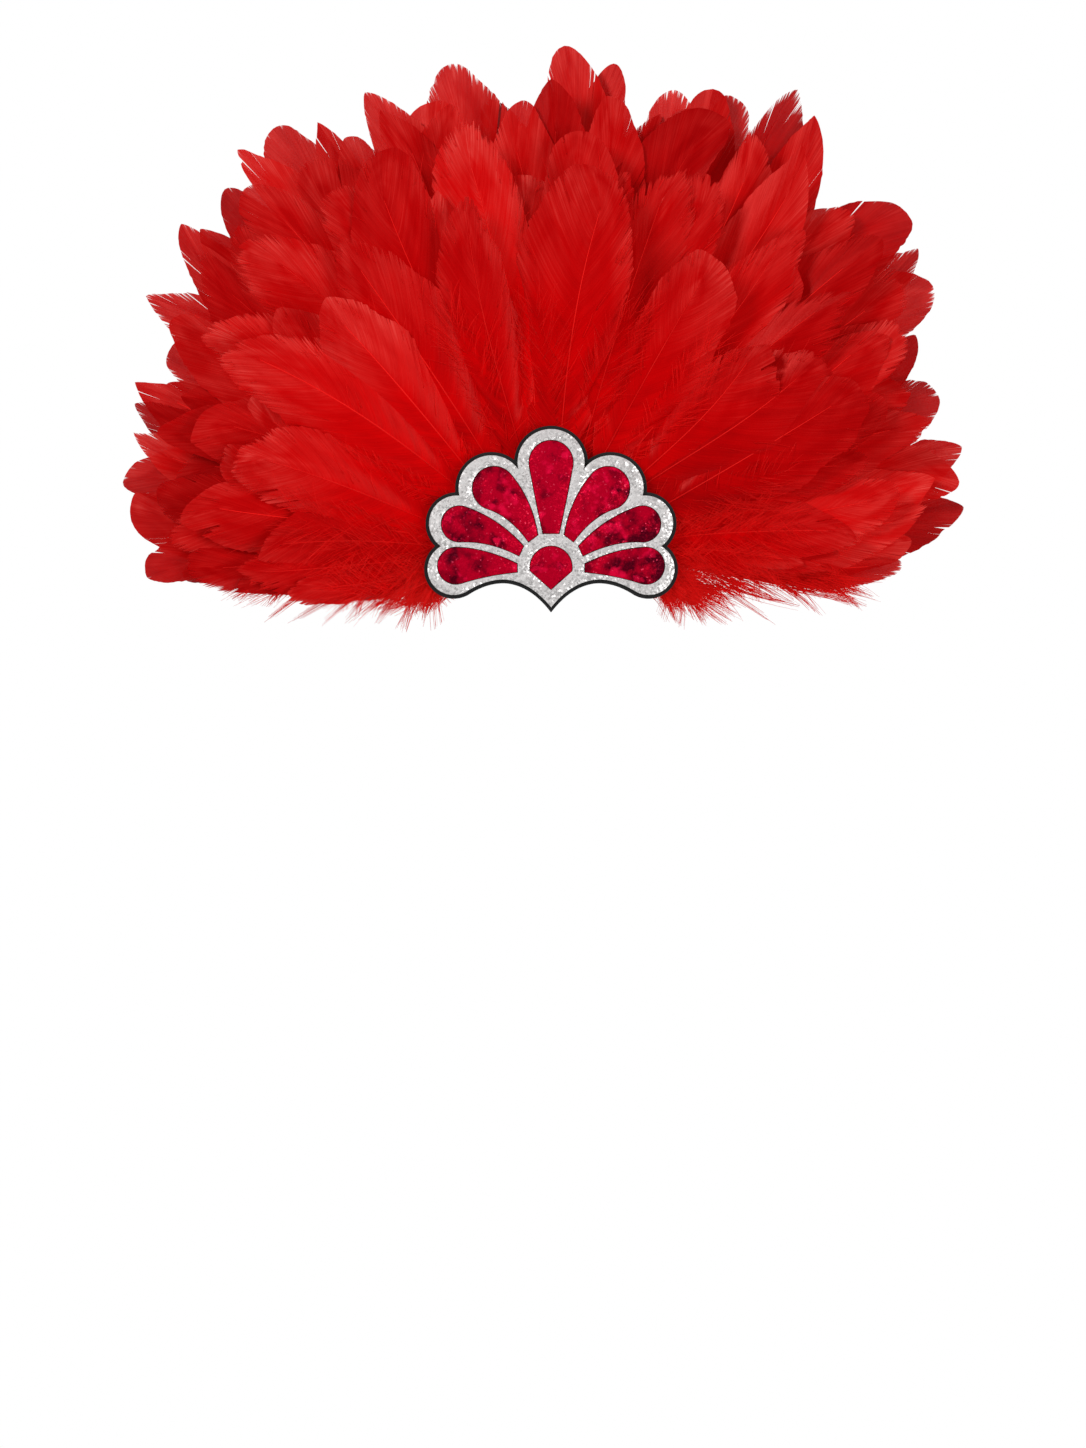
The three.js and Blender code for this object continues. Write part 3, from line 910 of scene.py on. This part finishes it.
        kept = np.ones((len(share) - 1, len(side) - 1), dtype=bool)
        for hand, cut in partings:
            self.notch(points, side, kept, hand, cut)
        row, column = np.nonzero(kept)
        low = row * len(side) + column
        faces = np.stack([low, low + len(side), low + len(side) + 1, low + 1], axis=-1)
        barbs = np.stack(np.broadcast_arrays(side, (share * length)[:, None]), axis=-1).reshape(-1, 2)
        sheet = np.stack(np.broadcast_arrays(0.5 + 0.47 * side, (0.03 + 0.94 * share)[:, None]), axis=-1)
        along = np.broadcast_to((FORM.shaft_share * share)[:, None] + ahead / length, points.shape[:2])
        parts.gather(
            points.reshape(-1, 3),
            [tuple(face) for face in faces.tolist()],
            {Mark.TONE: self.tone, Mark.ALONG: along.ravel(), Mark.SHAFT: 0.0, Mark.FRAY: self.fray},
            {UvMap.BARBS: barbs, UvMap.BAKE: cell + cell_size * sheet.reshape(-1, 2)},
        )

    def downy(self) -> bool:
        """Return whether the feather is a short soft one, all loose barbs."""
        return self.layer == 3 and self.reach < FORM.downy_reach

    def add_shaft(self, parts: MeshParts, strip: np.ndarray) -> None:
        """Add the feather's shaft as a tapered tube.

        Args:
            parts: The mesh to add to.
            strip: Lower end and height of its line on the baking sheet, as x, y and height.
        """
        share = np.linspace(0.0, 1.0, FORM.shaft_stations)
        radius = FORM.quill_radius + share * (self.end_radius() - 1 * MM - FORM.quill_radius)
        line = self.path(radius) + np.array([0.0, -0.05 * MM, 0.0])
        radii = FORM.shaft_tip + (FORM.shaft_root - FORM.shaft_tip) * (1.0 - share) ** 0.7
        ones = np.ones((1, len(share)))
        barbs = np.stack([np.zeros(len(share)), radius], axis=-1)
        sheet = np.stack([np.full(len(share), strip[0]), strip[1] + strip[2] * share], axis=-1)
        marks = {
            Mark.TONE: self.tone * ones,
            Mark.ALONG: share[None],
            Mark.SHAFT: self.shaft_show * ones,
            Mark.FRAY: 0.0 * ones,
        }
        maps = {UvMap.BARBS: barbs[None], UvMap.BAKE: sheet[None]}
        tubes(parts, line[None], radii[None], FORM.shaft_sides, marks, maps)


@dataclass
class FeatherRow:
    """One fan of feathers, modelled in place of its CAD row."""

    name: str
    node: str
    layer: int
    lean_deg: float
    table: tuple[tuple[float, float, float], ...]
    overreach: float = 4.0
    feathers: list[Feather] = field(init=False)

    def __post_init__(self) -> None:
        """Make the row's feathers from its table."""
        self.feathers = [
            Feather(
                angle,
                (reach + self.overreach) * MM,
                width * MM,
                self.lean_deg,
                self.layer,
                order,
                np.random.default_rng([SEED, self.layer, order]),
            )
            for order, (angle, reach, width) in enumerate(self.table)
        ]

    def build(self) -> bpy.types.Object:
        """Model the row as one joined mesh of closed vanes and shafts.

        Returns:
            The piece.
        """
        vanes, shafts = MeshParts(), MeshParts()
        per_side = math.ceil(math.sqrt(len(self.feathers) + 1))
        size = 1.0 / per_side
        last = np.array([1.0 - size, 1.0 - size])
        for number, feather in enumerate(self.feathers):
            cell = np.array([number % per_side, number // per_side]) * size
            if feather.downy():
                continue
            feather.add_vane(vanes, cell, size)
            strip = last + size * np.array([0.05 + 0.9 * number / len(self.feathers), 0.05])
            feather.add_shaft(shafts, np.append(strip, 0.9 * size))
        piece = vanes.to_object(self.name)
        apply_modifier(piece, "WELD", merge_threshold=1e-6)
        apply_modifier(piece, "SOLIDIFY", thickness=FORM.thickness, offset=-1.0)
        smooth_by_angle(piece, 50.0)
        return join(piece, shafts.to_object(self.name + "_shafts"))

    def dress(self, piece: bpy.types.Object, material: bpy.types.Material) -> None:
        """Give the row its finish and let it stand for its CAD node.

        Args:
            piece: The row's mesh object.
            material: The feather finish.
        """
        dress(piece, material)
        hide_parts(self.node)
        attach(piece, "root")


@dataclass
class Down:
    """Loose barbs at the feet of the feathers and along the fan's lower edge."""

    stations: int = 6
    radius: float = 0.17 * MM
    loose: int = 9
    downy: int = 150
    fringe: int = 48
    clumps: int = 150
    clump_barbs: int = 12
    wisp_radius: float = 0.27 * MM
    strand_sides: int = 3
    # Share of the shafts' paler colour and painted glow that the strands take
    shaft_show: float = 0.42
    lowest: float = -57 * MM

    def build(self, rows: list[FeatherRow]) -> list[bpy.types.Object]:
        """Return the barbs on the feathers and the wisps below, each a joined mesh of fine closed strands.

        Args:
            rows: The rows whose feathers carry the barbs.

        Returns:
            The two mesh objects.
        """
        dice = np.random.default_rng([SEED, 99])
        barbs, wisps = MeshParts(), MeshParts()
        for row in rows:
            for feather in row.feathers:
                self.strands(barbs, feather, dice)
        for hand in (-1.0, 1.0):
            self.hang(wisps, hand, dice)
        return [barbs.to_object("loose_barbs"), wisps.to_object("lower_wisps")]

    def hang(self, parts: MeshParts, hand: float, dice: np.random.Generator) -> None:
        """Add the wisps that hang along the fan's lower edge on one side.

        Args:
            parts: The mesh to add to.
            hand: -1 for the left side, 1 for the right.
            dice: Source of chance.
        """
        count = self.clumps
        out = dice.uniform(0.0, 1.0, count) ** 1.1
        root = np.stack([
            hand * (54.0 + 96.0 * out),
            dice.uniform(-12.0, -4.0, count),
            dice.uniform(-30.0, -14.0, count),
        ], axis=-1) * MM
        heading = np.stack([
            hand * dice.uniform(8.0, 26.0, count),
            dice.uniform(-3.0, 3.0, count),
            dice.uniform(-15.0, -3.0, count) * (1.0 - 0.35 * out),
        ], axis=-1) * MM
        sag = np.stack([
            hand * dice.normal(1.0, 6.0, count),
            dice.normal(0.0, 2.5, count),
            dice.normal(-3.0, 5.0, count) * (1.0 - 0.3 * out),
        ], axis=-1) * MM
        tuft = count // 2
        root[:tuft, 0] = hand * dice.uniform(54.0, 72.0, tuft) * MM
        root[:tuft, 2] = dice.uniform(-33.0, -20.0, tuft) * MM
        heading[:tuft, 0] *= 0.5
        heading[:tuft, 2] = dice.uniform(-11.0, -3.0, tuft) * MM
        spread = dice.normal(0.0, 1.6, (count, self.clump_barbs, 3)) * MM
        each = np.repeat(np.arange(count), self.clump_barbs)
        ends = dice.normal(1.0, 0.16, (len(each), 1))
        spread = spread.reshape(-1, 3)
        root, heading, sag = root[each] + spread, heading[each] * ends - 0.5 * spread, sag[each]
        heading[:, 2] += np.clip(self.lowest - (root + heading + sag)[:, 2], 0.0, None)
        tone = dice.normal(0.5, 0.2, len(each))
        self.add_lines(parts, root, heading, sag, self.wisp_radius, tone, dice)

    def strands(self, parts: MeshParts, feather: Feather, dice: np.random.Generator) -> None:
        """Add the loose barbs of one feather.

        Args:
            parts: The mesh to add to.
            feather: The feather that carries them.
            dice: Source of chance.
        """
        if feather.downy():
            self.lay(parts, feather, self.downy, (0.0, 0.5), (0.4, 0.8), 0.96, dice)
            return
        low = abs(math.cos(math.radians(feather.angle_deg))) ** 6
        self.lay(parts, feather, int(self.loose * (1.0 + 2.0 * low)), (0.1, 0.6), (0.25, 0.5), 0.6, dice)
        if feather.layer >= 2:
            self.lay(parts, feather, self.fringe, (0.7, 0.92), (0.1, 0.25), 0.97, dice)

    def lay(
        self,
        parts: MeshParts,
        feather: Feather,
        count: int,
        start: tuple[float, float],
        run: tuple[float, float],
        last: float,
        dice: np.random.Generator,
    ) -> None:
        """Lay strands on a feather along its barbs.

        Args:
            parts: The mesh to add to.
            feather: The feather that carries them.
            count: How many strands.
            start: Range of where they start along their barbs.
            run: Range of how far they run on along them.
            last: Share of the shaft's length where the last ones grow.
            dice: Source of chance.
        """
        share = np.sort(dice.uniform(0.02, last, count))
        hand = dice.choice([-1.0, 1.0], count)
        near = dice.uniform(*start, count)
        root = feather.on_barbs(share, hand, near)
        heading = feather.on_barbs(share, hand, near + dice.uniform(*run, count)) - root
        length = np.linalg.norm(heading, axis=1)[:, None]
        root[:, 1] -= dice.uniform(0.05, 0.4, count) * MM
        heading[:, 1] -= dice.uniform(0.0, 0.08, count) * length[:, 0]
        stray = dice.normal(0.0, 1.0, (count, 3)) * np.array([0.12, 0.04, 0.12]) * length
        sag = dice.normal(0.0, 1.0, (count, 3)) * np.array([0.16, 0.04, 0.16]) * length
        # Painted light: strands are a little lighter than their feather on average, for light that the fine
        # barbs catch
        tone = feather.tone + dice.normal(0.16, 0.3, count)
        self.add_lines(parts, root, heading + stray, sag, self.radius, tone, dice)

    def add_lines(
        self,
        parts: MeshParts,
        root: np.ndarray,
        heading: np.ndarray,
        sag: np.ndarray,
        radius: float,
        tone: np.ndarray,
        dice: np.random.Generator,
    ) -> None:
        """Add bent, tapered strands to a mesh.

        Args:
            parts: The mesh to add to.
            root: Where each strand starts.
            heading: Its run from root to end before it sags.
            sag: How far its end bends away.
            radius: Radius of a strand at its root.
            tone: How light each strand is, from 0 to 1.
            dice: Source of chance.
        """
        count = len(root)
        run = np.linspace(0.0, 1.0, self.stations)[None, :, None]
        lines = root[:, None] + heading[:, None] * run + sag[:, None] * run**2
        radii = radius * (1.0 - 0.75 * run[..., 0]) * dice.uniform(0.7, 1.4, count)[:, None]
        shape = (count, self.stations)
        spot = np.broadcast_to(dice.uniform(0.02, 0.7, (count, 1, 2)), (*shape, 2))
        marks = {
            Mark.TONE: np.broadcast_to(tone[:, None], shape),
            Mark.ALONG: np.broadcast_to(0.4 + 0.4 * run[..., 0], shape),
            Mark.SHAFT: np.full(shape, self.shaft_show),
            Mark.FRAY: np.zeros(shape),
        }
        tubes(parts, lines, radii, self.strand_sides, marks, {UvMap.BARBS: spot, UvMap.BAKE: spot})

    def dress(self, piece: bpy.types.Object, material: bpy.types.Material) -> None:
        """Give one of the pieces the feather finish.

        Args:
            piece: The barbs or the wisps.
            material: The feather finish.
        """
        dress(piece, material)
        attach(piece, "root")


def plate(name: str, outline: np.ndarray, front: float, thickness: float) -> bpy.types.Object:
    """Model a flat plate from a filled circle drawn to an outline and extruded forwards.

    Args:
        name: Name of the object.
        outline: Points in the X-Z plane about the hub.
        front: y of the front face.
        thickness: Depth of the plate.

    Returns:
        The object.
    """
    bpy.ops.object.select_all(action="DESELECT")
    bpy.ops.mesh.primitive_circle_add(vertices=len(outline), radius=50 * MM, fill_type="NGON")
    piece = bpy.context.object
    piece.name = piece.data.name = name
    for vertex, (x, z) in zip(piece.data.vertices, outline):
        vertex.co = (x, front + thickness, HUB_Z + z)
    bpy.ops.object.mode_set(mode="EDIT")
    bpy.ops.mesh.select_all(action="SELECT")
    bpy.ops.mesh.extrude_region_move(TRANSFORM_OT_translate={"value": (0.0, -thickness, 0.0)})
    bpy.ops.mesh.select_all(action="SELECT")
    bpy.ops.mesh.normals_make_consistent(inside=False)
    bpy.ops.object.mode_set(mode="OBJECT")
    return piece


def arc(centre: np.ndarray, radius: float, start: float, end: float, steps: int) -> np.ndarray:
    """Return points on an arc between two angles in radians."""
    turns = np.linspace(start, end, steps)
    return centre + radius * np.stack([np.cos(turns), np.sin(turns)], axis=-1)


def curve(start: np.ndarray, control: np.ndarray, end: np.ndarray, steps: int) -> np.ndarray:
    """Return points on a quadratic curve without its last point."""
    t = np.linspace(0.0, 1.0, steps, endpoint=False)[:, None]
    return (1.0 - t) ** 2 * start + 2.0 * t * (1.0 - t) * control + t**2 * end


class Lobe(Enum):
    """Scallops of the diadem's right half, from the lower one up to the middle of the top."""

    LOWER = "lower"
    MIDDLE = "middle"
    UPPER = "upper"
    TOP = "top"


@dataclass(frozen=True)
class LobeSize:
    """One scallop: its centre by reach and angle about the hub, and its radius."""

    reach: float
    angle_deg: float
    radius: float

    def centre(self) -> np.ndarray:
        """Return the centre about the hub."""
        angle = math.radians(self.angle_deg)
        return self.reach * np.array([math.cos(angle), math.sin(angle)])


@dataclass(frozen=True)
class PetalSize:
    """One red field inside its scallop, along the line from the hub.

    Its round end has a centre, a radius and a lift off the line. Its sides and root are offsets from
    the line, above and below.
    """

    centre: float
    radius: float
    lift: float
    sides: tuple[float, float]
    root: tuple[float, float]


LOBES = {
    Lobe.LOWER: LobeSize(50.8 * MM, -1.0, 13.5 * MM),
    Lobe.MIDDLE: LobeSize(54.1 * MM, 25.0, 14.5 * MM),
    Lobe.UPPER: LobeSize(51.6 * MM, 53.0, 17.1 * MM),
    Lobe.TOP: LobeSize(54.6 * MM, 90.0, 17.4 * MM),
}
PETALS = {
    Lobe.LOWER: PetalSize(49.5 * MM, 9.6 * MM, 1.7 * MM, (10.5 * MM, -3.4 * MM), (2.1 * MM, -2.2 * MM)),
    Lobe.MIDDLE: PetalSize(52.8 * MM, 9.4 * MM, 0.3 * MM, (11.6 * MM, -0.9 * MM), (3.9 * MM, -1.7 * MM)),
    Lobe.UPPER: PetalSize(50.8 * MM, 11.3 * MM, 1.1 * MM, (13.4 * MM, -1.0 * MM), (4.6 * MM, -1.4 * MM)),
    Lobe.TOP: PetalSize(54.6 * MM, 11.5 * MM, 0.0, (8.3 * MM, -8.3 * MM), (4.2 * MM, -4.2 * MM)),
}


@dataclass
class Diadem:
    """The scalloped emblem: foam backing, pierced glitter border and red foil fields."""

    margin: float = 1.9 * MM
    crest: tuple[float, float] = (23 * MM, -6.4 * MM)
    tip_z: float = -20.8 * MM
    leave_deg: float = -118.0
    petal_root: float = 17.6 * MM
    drop_radius: float = 11 * MM
    drop_shoulder: float = -2 * MM
    drop_tip: float = -11.5 * MM
    tip_grow: float = 1.4
    tip_bow: tuple[float, float] = (0.45, 1.5 * MM)
    crest_bow: tuple[float, float] = (10 * MM, 0.8 * MM)
    arc_steps: int = 22
    border_edge: float = 0.35 * MM
    plain_edge: float = 0.3 * MM
    cutter_depth: float = 8 * MM

    def notch(self, a: LobeSize, b: LobeSize, grow: float) -> np.ndarray:
        """Find the outer crossing of two neighbouring scallops.

        Args:
            a: The lower scallop.
            b: The upper scallop.
            grow: Margin outwards.

        Returns:
            The crossing point about the hub.
        """
        between = b.centre() - a.centre()
        distance = float(np.linalg.norm(between))
        first, second = a.radius + grow, b.radius + grow
        run = (distance**2 + first**2 - second**2) / (2.0 * distance)
        forward = between / distance
        aside = np.array([-forward[1], forward[0]])
        aside = aside if aside @ a.centre() > 0.0 else -aside
        return a.centre() + forward * run + aside * math.sqrt(first**2 - run**2)

    def outline(self, grow: float) -> np.ndarray:
        """Draw the scalloped outline.

        Args:
            grow: Margin outwards.

        Returns:
            The outline's points.
        """
        chain = [LOBES[lobe] for lobe in Lobe]
        leave = math.radians(self.leave_deg)
        meet = chain[0].centre() + (chain[0].radius + grow) * np.array([math.cos(leave), math.sin(leave)])
        tip = np.array([0.0, self.tip_z - self.tip_grow * grow])
        crest = np.array([self.crest[0], self.crest[1] - grow])
        bow = np.array([self.tip_bow[0] * crest[0], crest[1] - self.tip_bow[1]])
        right = [
            curve(tip, bow, crest, self.arc_steps),
            curve(crest, crest + np.array(self.crest_bow), meet, self.arc_steps // 2),
        ]
        start = leave
        for lobe, following in zip(chain, chain[1:] + [None]):
            centre = lobe.centre()
            end = centre + np.array([0.0, lobe.radius + grow])
            if following:
                end = self.notch(lobe, following, grow)
            turn = math.atan2(end[1] - centre[1], end[0] - centre[0])
            points = arc(centre, lobe.radius + grow, start, turn, self.arc_steps)
            right.append(points[:-1] if following else points)
            if following:
                start = math.atan2(*(end - following.centre())[::-1])
        half = np.concatenate(right)
        return np.concatenate([half, half[-2:0:-1] * np.array([-1.0, 1.0])])

    def petal(self, kind: Lobe, mirror: int, grow: float) -> np.ndarray:
        """Return a field's outline: a round end drawn in to a narrow root.

        Args:
            kind: The scallop that it lies in.
            mirror: 1 for the right side, -1 for the left.
            grow: Margin outwards.

        Returns:
            The outline's points.
        """
        size = PETALS[kind]
        ball, root = size.radius + grow, self.petal_root - grow
        middle = (size.centre + root) / 2.0
        hub = np.array([size.centre, size.lift])
        ends = []
        for sign, side, foot in zip((1.0, -1.0), size.sides, size.root):
            offset = side + sign * grow
            along, out = middle - size.centre, offset - size.lift
            turn = math.atan2(out, along) - sign * math.acos(min(1.0, ball / math.hypot(along, out)))
            touch = hub + ball * np.array([math.cos(turn), math.sin(turn)])
            ends.append((np.array([middle, offset]), turn, touch, np.array([root, foot + sign * grow])))
        (up_bow, up_turn, up_touch, up_root), (low_bow, low_turn, low_touch, low_root) = ends
        while up_turn < low_turn:
            up_turn += 2.0 * math.pi
        points = np.concatenate([
            curve(low_root, low_bow, low_touch, self.arc_steps // 2),
            arc(hub, ball, low_turn, up_turn, 2 * self.arc_steps),
            curve(up_touch, up_bow, up_root, self.arc_steps // 2)[1:],
            up_root[None],
        ])
        turn = math.radians(LOBES[kind].angle_deg)
        x = points[:, 0] * math.cos(turn) - points[:, 1] * math.sin(turn)
        z = points[:, 0] * math.sin(turn) + points[:, 1] * math.cos(turn)
        return np.stack([mirror * x, z], axis=-1)

    def drop(self, grow: float) -> np.ndarray:
        """Draw the middle field's outline: a dome with a pointed lower end.

        Args:
            grow: Margin outwards.

        Returns:
            The outline's points.
        """
        radius = self.drop_radius + grow
        shoulder = math.asin(self.drop_shoulder / radius)
        dome = arc(np.zeros(2), radius, shoulder, math.pi - shoulder, 2 * self.arc_steps)
        return np.concatenate([dome, [[0.0, self.drop_tip - self.tip_grow * grow]]])

    def fields(self, grow: float) -> dict[str, np.ndarray]:
        """Draw every red field's outline.

        Args:
            grow: Margin outwards.

        Returns:
            The outlines by their CAD nodes' names.
        """
        outlines = {"centre_drop": self.drop(grow), "petal_top": self.petal(Lobe.TOP, 1, grow)}
        for kind in (Lobe.UPPER, Lobe.MIDDLE, Lobe.LOWER):
            for hand, mirror in (("left", -1), ("right", 1)):
                outlines[f"petal_{kind.value}_{hand}"] = self.petal(kind, mirror, grow)
        return outlines

    def soften(self, piece: bpy.types.Object, width: float) -> None:
        """Round a plate's edges and shade it."""
        bevel(piece, width, 2, 50.0)
        smooth_by_angle(piece, 35.0)

    def build(self, foam: bpy.types.Material, glitter: bpy.types.Material, foil: bpy.types.Material) -> None:
        """Model and dress the diadem's plates.

        Args:
            foam: Finish of the backing.
            glitter: Finish of the border.
            foil: Finish of the fields.
        """
        backing_front = tape_front(3) - LAYER_GAP - BACKING_THICKNESS
        inlay_back = backing_front - INLAY_GAP
        backing = plate("foam_backing", self.outline(self.margin), backing_front, BACKING_THICKNESS)
        self.soften(backing, self.plain_edge)
        self.fit(backing, "diadem_backing", foam)
        border = plate("glitter_border", self.outline(0.0), inlay_back - BORDER_THICKNESS, BORDER_THICKNESS)
        for outline in self.fields(INLAY_GAP).values():
            cutter = plate("cutter", outline, inlay_back - self.cutter_depth / 2, self.cutter_depth)
            apply_modifier(border, "BOOLEAN", operation="DIFFERENCE", solver="EXACT", object=cutter)
            bpy.data.objects.remove(cutter)
        self.soften(border, self.border_edge)
        self.fit(border, "diadem_border", glitter)
        for node, outline in self.fields(0.0).items():
            piece = plate("foil_" + node, outline, inlay_back - FIELD_THICKNESS, FIELD_THICKNESS)
            self.soften(piece, self.plain_edge)
            self.fit(piece, node, foil)

    def fit(self, piece: bpy.types.Object, node: str, material: bpy.types.Material) -> None:
        """Dress one plate and let it stand for its CAD node.

        Args:
            piece: The plate.
            node: Name of the CAD node.
            material: Its finish.
        """
        dress(piece, material)
        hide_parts(node)
        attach(piece, "root")
        log.info("diadem: %s, %d faces", piece.name, len(piece.data.polygons))


@dataclass
class FeltBase:
    """Felt half rings that the quills are glued to, one behind each row."""

    inner_radius: float = 14 * MM
    outer_radii: tuple[float, ...] = (84 * MM, 55 * MM, 55 * MM, 55 * MM)
    overhang_deg: float = -2.0
    steps: int = 48
    edge: float = 0.5 * MM

    def build(self, material: bpy.types.Material) -> bpy.types.Object:
        """Return the felt rings as one piece.

        Args:
            material: The felt finish.

        Returns:
            The piece.
        """
        start, end = math.radians(-self.overhang_deg), math.radians(180.0 + self.overhang_deg)
        rings = []
        for layer, outer in enumerate(self.outer_radii):
            outline = np.concatenate([
                arc(np.zeros(2), outer, start, end, self.steps),
                arc(np.zeros(2), self.inner_radius, end, start, self.steps // 2),
            ])
            ring = plate(f"felt_{layer}", outline, tape_front(layer), TAPE_THICKNESS)
            bevel(ring, self.edge, 2, 30.0)
            rings.append(ring)
        piece = join(rings[0], *rings[1:])
        piece.name = piece.data.name = "felt_base"
        smooth_by_angle(piece, 35.0)
        dress(piece, material)
        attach(piece, "root")
        return piece


@dataclass
class HeadBand:
    """The sprung band: an elliptical horseshoe that narrows and drops towards its ends."""

    half_width: float = 72 * MM
    half_depth: float = 78 * MM
    height: float = 16 * MM
    end_height: float = 9 * MM
    drop: float = 30 * MM
    sweep_deg: float = 118.0
    steps: int = 72
    edge: float = 0.8 * MM

    def build(self, material: bpy.types.Material) -> bpy.types.Object:
        """Return the band, spun from its cross section, drawn to the ellipse and rounded.

        Args:
            material: The satin finish.

        Returns:
            The piece.
        """
        sweep = math.radians(self.sweep_deg)
        centre = Vector((0.0, self.half_depth, 0.0))
        bpy.ops.object.select_all(action="DESELECT")
        bpy.ops.mesh.primitive_plane_add(size=1.0, rotation=(math.pi / 2, 0.0, 0.0))
        piece = bpy.context.object
        piece.name = piece.data.name = "satin_band"
        bpy.ops.object.transform_apply(location=True, rotation=True, scale=True)
        for vertex in piece.data.vertices:
            offset = self.half_width + (vertex.co.x + 0.5) * BAND_THICKNESS
            turn = -math.pi / 2 - sweep
            x, y = offset * math.cos(turn), centre.y + offset * math.sin(turn)
            vertex.co = (x, y, vertex.co.z * self.height)
        bpy.ops.object.mode_set(mode="EDIT")
        bpy.ops.mesh.select_all(action="SELECT")
        bpy.ops.mesh.spin(steps=self.steps, angle=-2.0 * sweep, center=centre, axis=(0.0, 0.0, 1.0))
        bpy.ops.mesh.select_all(action="SELECT")
        bpy.ops.mesh.remove_doubles(threshold=1e-6)
        bpy.ops.mesh.normals_make_consistent(inside=False)
        bpy.ops.object.mode_set(mode="OBJECT")
        length = self.half_depth * (1.0 - math.cos(sweep))
        for vertex in piece.data.vertices:
            x, y, z = vertex.co
            grow = math.hypot(x, y - centre.y) - self.half_width
            turn = math.atan2(x, centre.y - y)
            y = self.half_depth - (self.half_depth + grow) * math.cos(turn)
            along = y / length
            taper = 1.0 + (self.end_height / self.height - 1.0) * along
            vertex.co = ((self.half_width + grow) * math.sin(turn), y, z * taper - self.drop * along)
        bevel(piece, self.edge, 3, 50.0)
        smooth_by_angle(piece, 40.0)
        dress(piece, material)
        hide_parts("head_band")
        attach(piece, "root")
        return piece


@dataclass
class Stage:
    """Floor, lights, sky and camera for the picture."""

    floor_z: float = -0.62
    floor_radius: float = 0.7
    camera_at: tuple[float, float, float] = (-0.0042, -2.02, -0.1016)
    lens: float = 85.0
    sensor: float = 32.0
    sky: float = 0.22
    aim: tuple[float, float, float] = (0.0, 0.0, 0.06)

    def build(self) -> None:
        """Set up everything round the object."""
        self.add_floor()
        self.add_light("key", (-1.6, -1.7, 1.15), 0.8, 30.0)
        self.add_light("fill", (1.6, -1.5, -0.3), 1.4, 24.0)
        self.add_light("back", (0.5, 2.2, 0.9), 1.6, 22.0)
        self.add_sky()
        camera = bpy.data.objects.new("camera", bpy.data.cameras.new("camera"))
        camera.data.lens, camera.data.sensor_width = self.lens, self.sensor
        camera.location = self.camera_at
        camera.rotation_euler = (math.pi / 2, 0.0, 0.0)
        bpy.context.scene.collection.objects.link(camera)
        bpy.context.scene.camera = camera
        bpy.context.scene.view_settings.view_transform = "Standard"

    def add_floor(self) -> None:
        """Lay a pale round floor well below the object."""
        bpy.ops.object.select_all(action="DESELECT")
        bpy.ops.mesh.primitive_cylinder_add(
            vertices=96, radius=self.floor_radius, depth=0.01, location=(0.0, 0.0, self.floor_z)
        )
        floor = bpy.context.object
        floor.name = "floor"
        dress(floor, FLOOR.make())

    def add_light(self, name: str, place: tuple[float, float, float], size: float, power: float) -> None:
        """Hang a soft square light aimed at the fan.

        Args:
            name: Name of the light.
            place: Where it hangs.
            size: Side of the square.
            power: Power in watts.
        """
        data = bpy.data.lights.new(name, "AREA")
        data.size, data.energy = size, power
        light = bpy.data.objects.new(name, data)
        light.location = place
        aim = Vector(self.aim) - Vector(place)
        light.rotation_euler = aim.to_track_quat("-Z", "Y").to_euler()
        bpy.context.scene.collection.objects.link(light)

    def add_sky(self) -> None:
        """Make a white sky that lights the object less than it shows."""
        world = bpy.data.worlds.new("white sky")
        world.use_nodes = True
        bpy.context.scene.world = world
        nodes, links = world.node_tree.nodes, world.node_tree.links
        background = nodes["Background"]
        background.inputs["Color"].default_value = (1.0, 1.0, 1.0, 1.0)
        seen = nodes.new("ShaderNodeLightPath")
        strength = nodes.new("ShaderNodeMapRange")
        strength.inputs["To Min"].default_value = self.sky
        strength.inputs["To Max"].default_value = 1.0
        links.new(seen.outputs["Is Camera Ray"], strength.inputs["Value"])
        links.new(strength.outputs["Result"], background.inputs["Strength"])


def main() -> None:
    """Build every piece in order, from the band forwards."""
    logging.basicConfig(level=logging.INFO, format="%(name)s: %(message)s")
    feather = FeatherFinish().make()
    facets = facet_group()
    rows = [
        FeatherRow("feathers_back", "feather_row_back", 0, 0.0, BACK_ROW),
        FeatherRow("feathers_rear", "feather_row_rear", 1, 6.0, REAR_ROW),
        FeatherRow("feathers_middle", "feather_row_middle", 2, 12.0, MIDDLE_ROW),
        FeatherRow("feathers_front", "feather_row_front", 3, 21.0, FRONT_ROW),
    ]
    band = HeadBand().build(SATIN.make())
    log.info("band: %d faces", len(band.data.polygons))
    base = FeltBase().build(FELT.make())
    log.info("felt base: %d faces", len(base.data.polygons))
    for row in rows:
        piece = row.build()
        row.dress(piece, feather)
        log.info("%s: %d feathers, %d faces", row.name, len(row.feathers), len(piece.data.polygons))
    down = Down()
    for piece in down.build(rows):
        down.dress(piece, feather)
        log.info("%s: %d faces", piece.name, len(piece.data.polygons))
    Diadem().build(FOAM.make(), GlitterFinish().make(facets), FoilFinish().make(facets))
    Stage().build()


if __name__ == "__main__":
    main()
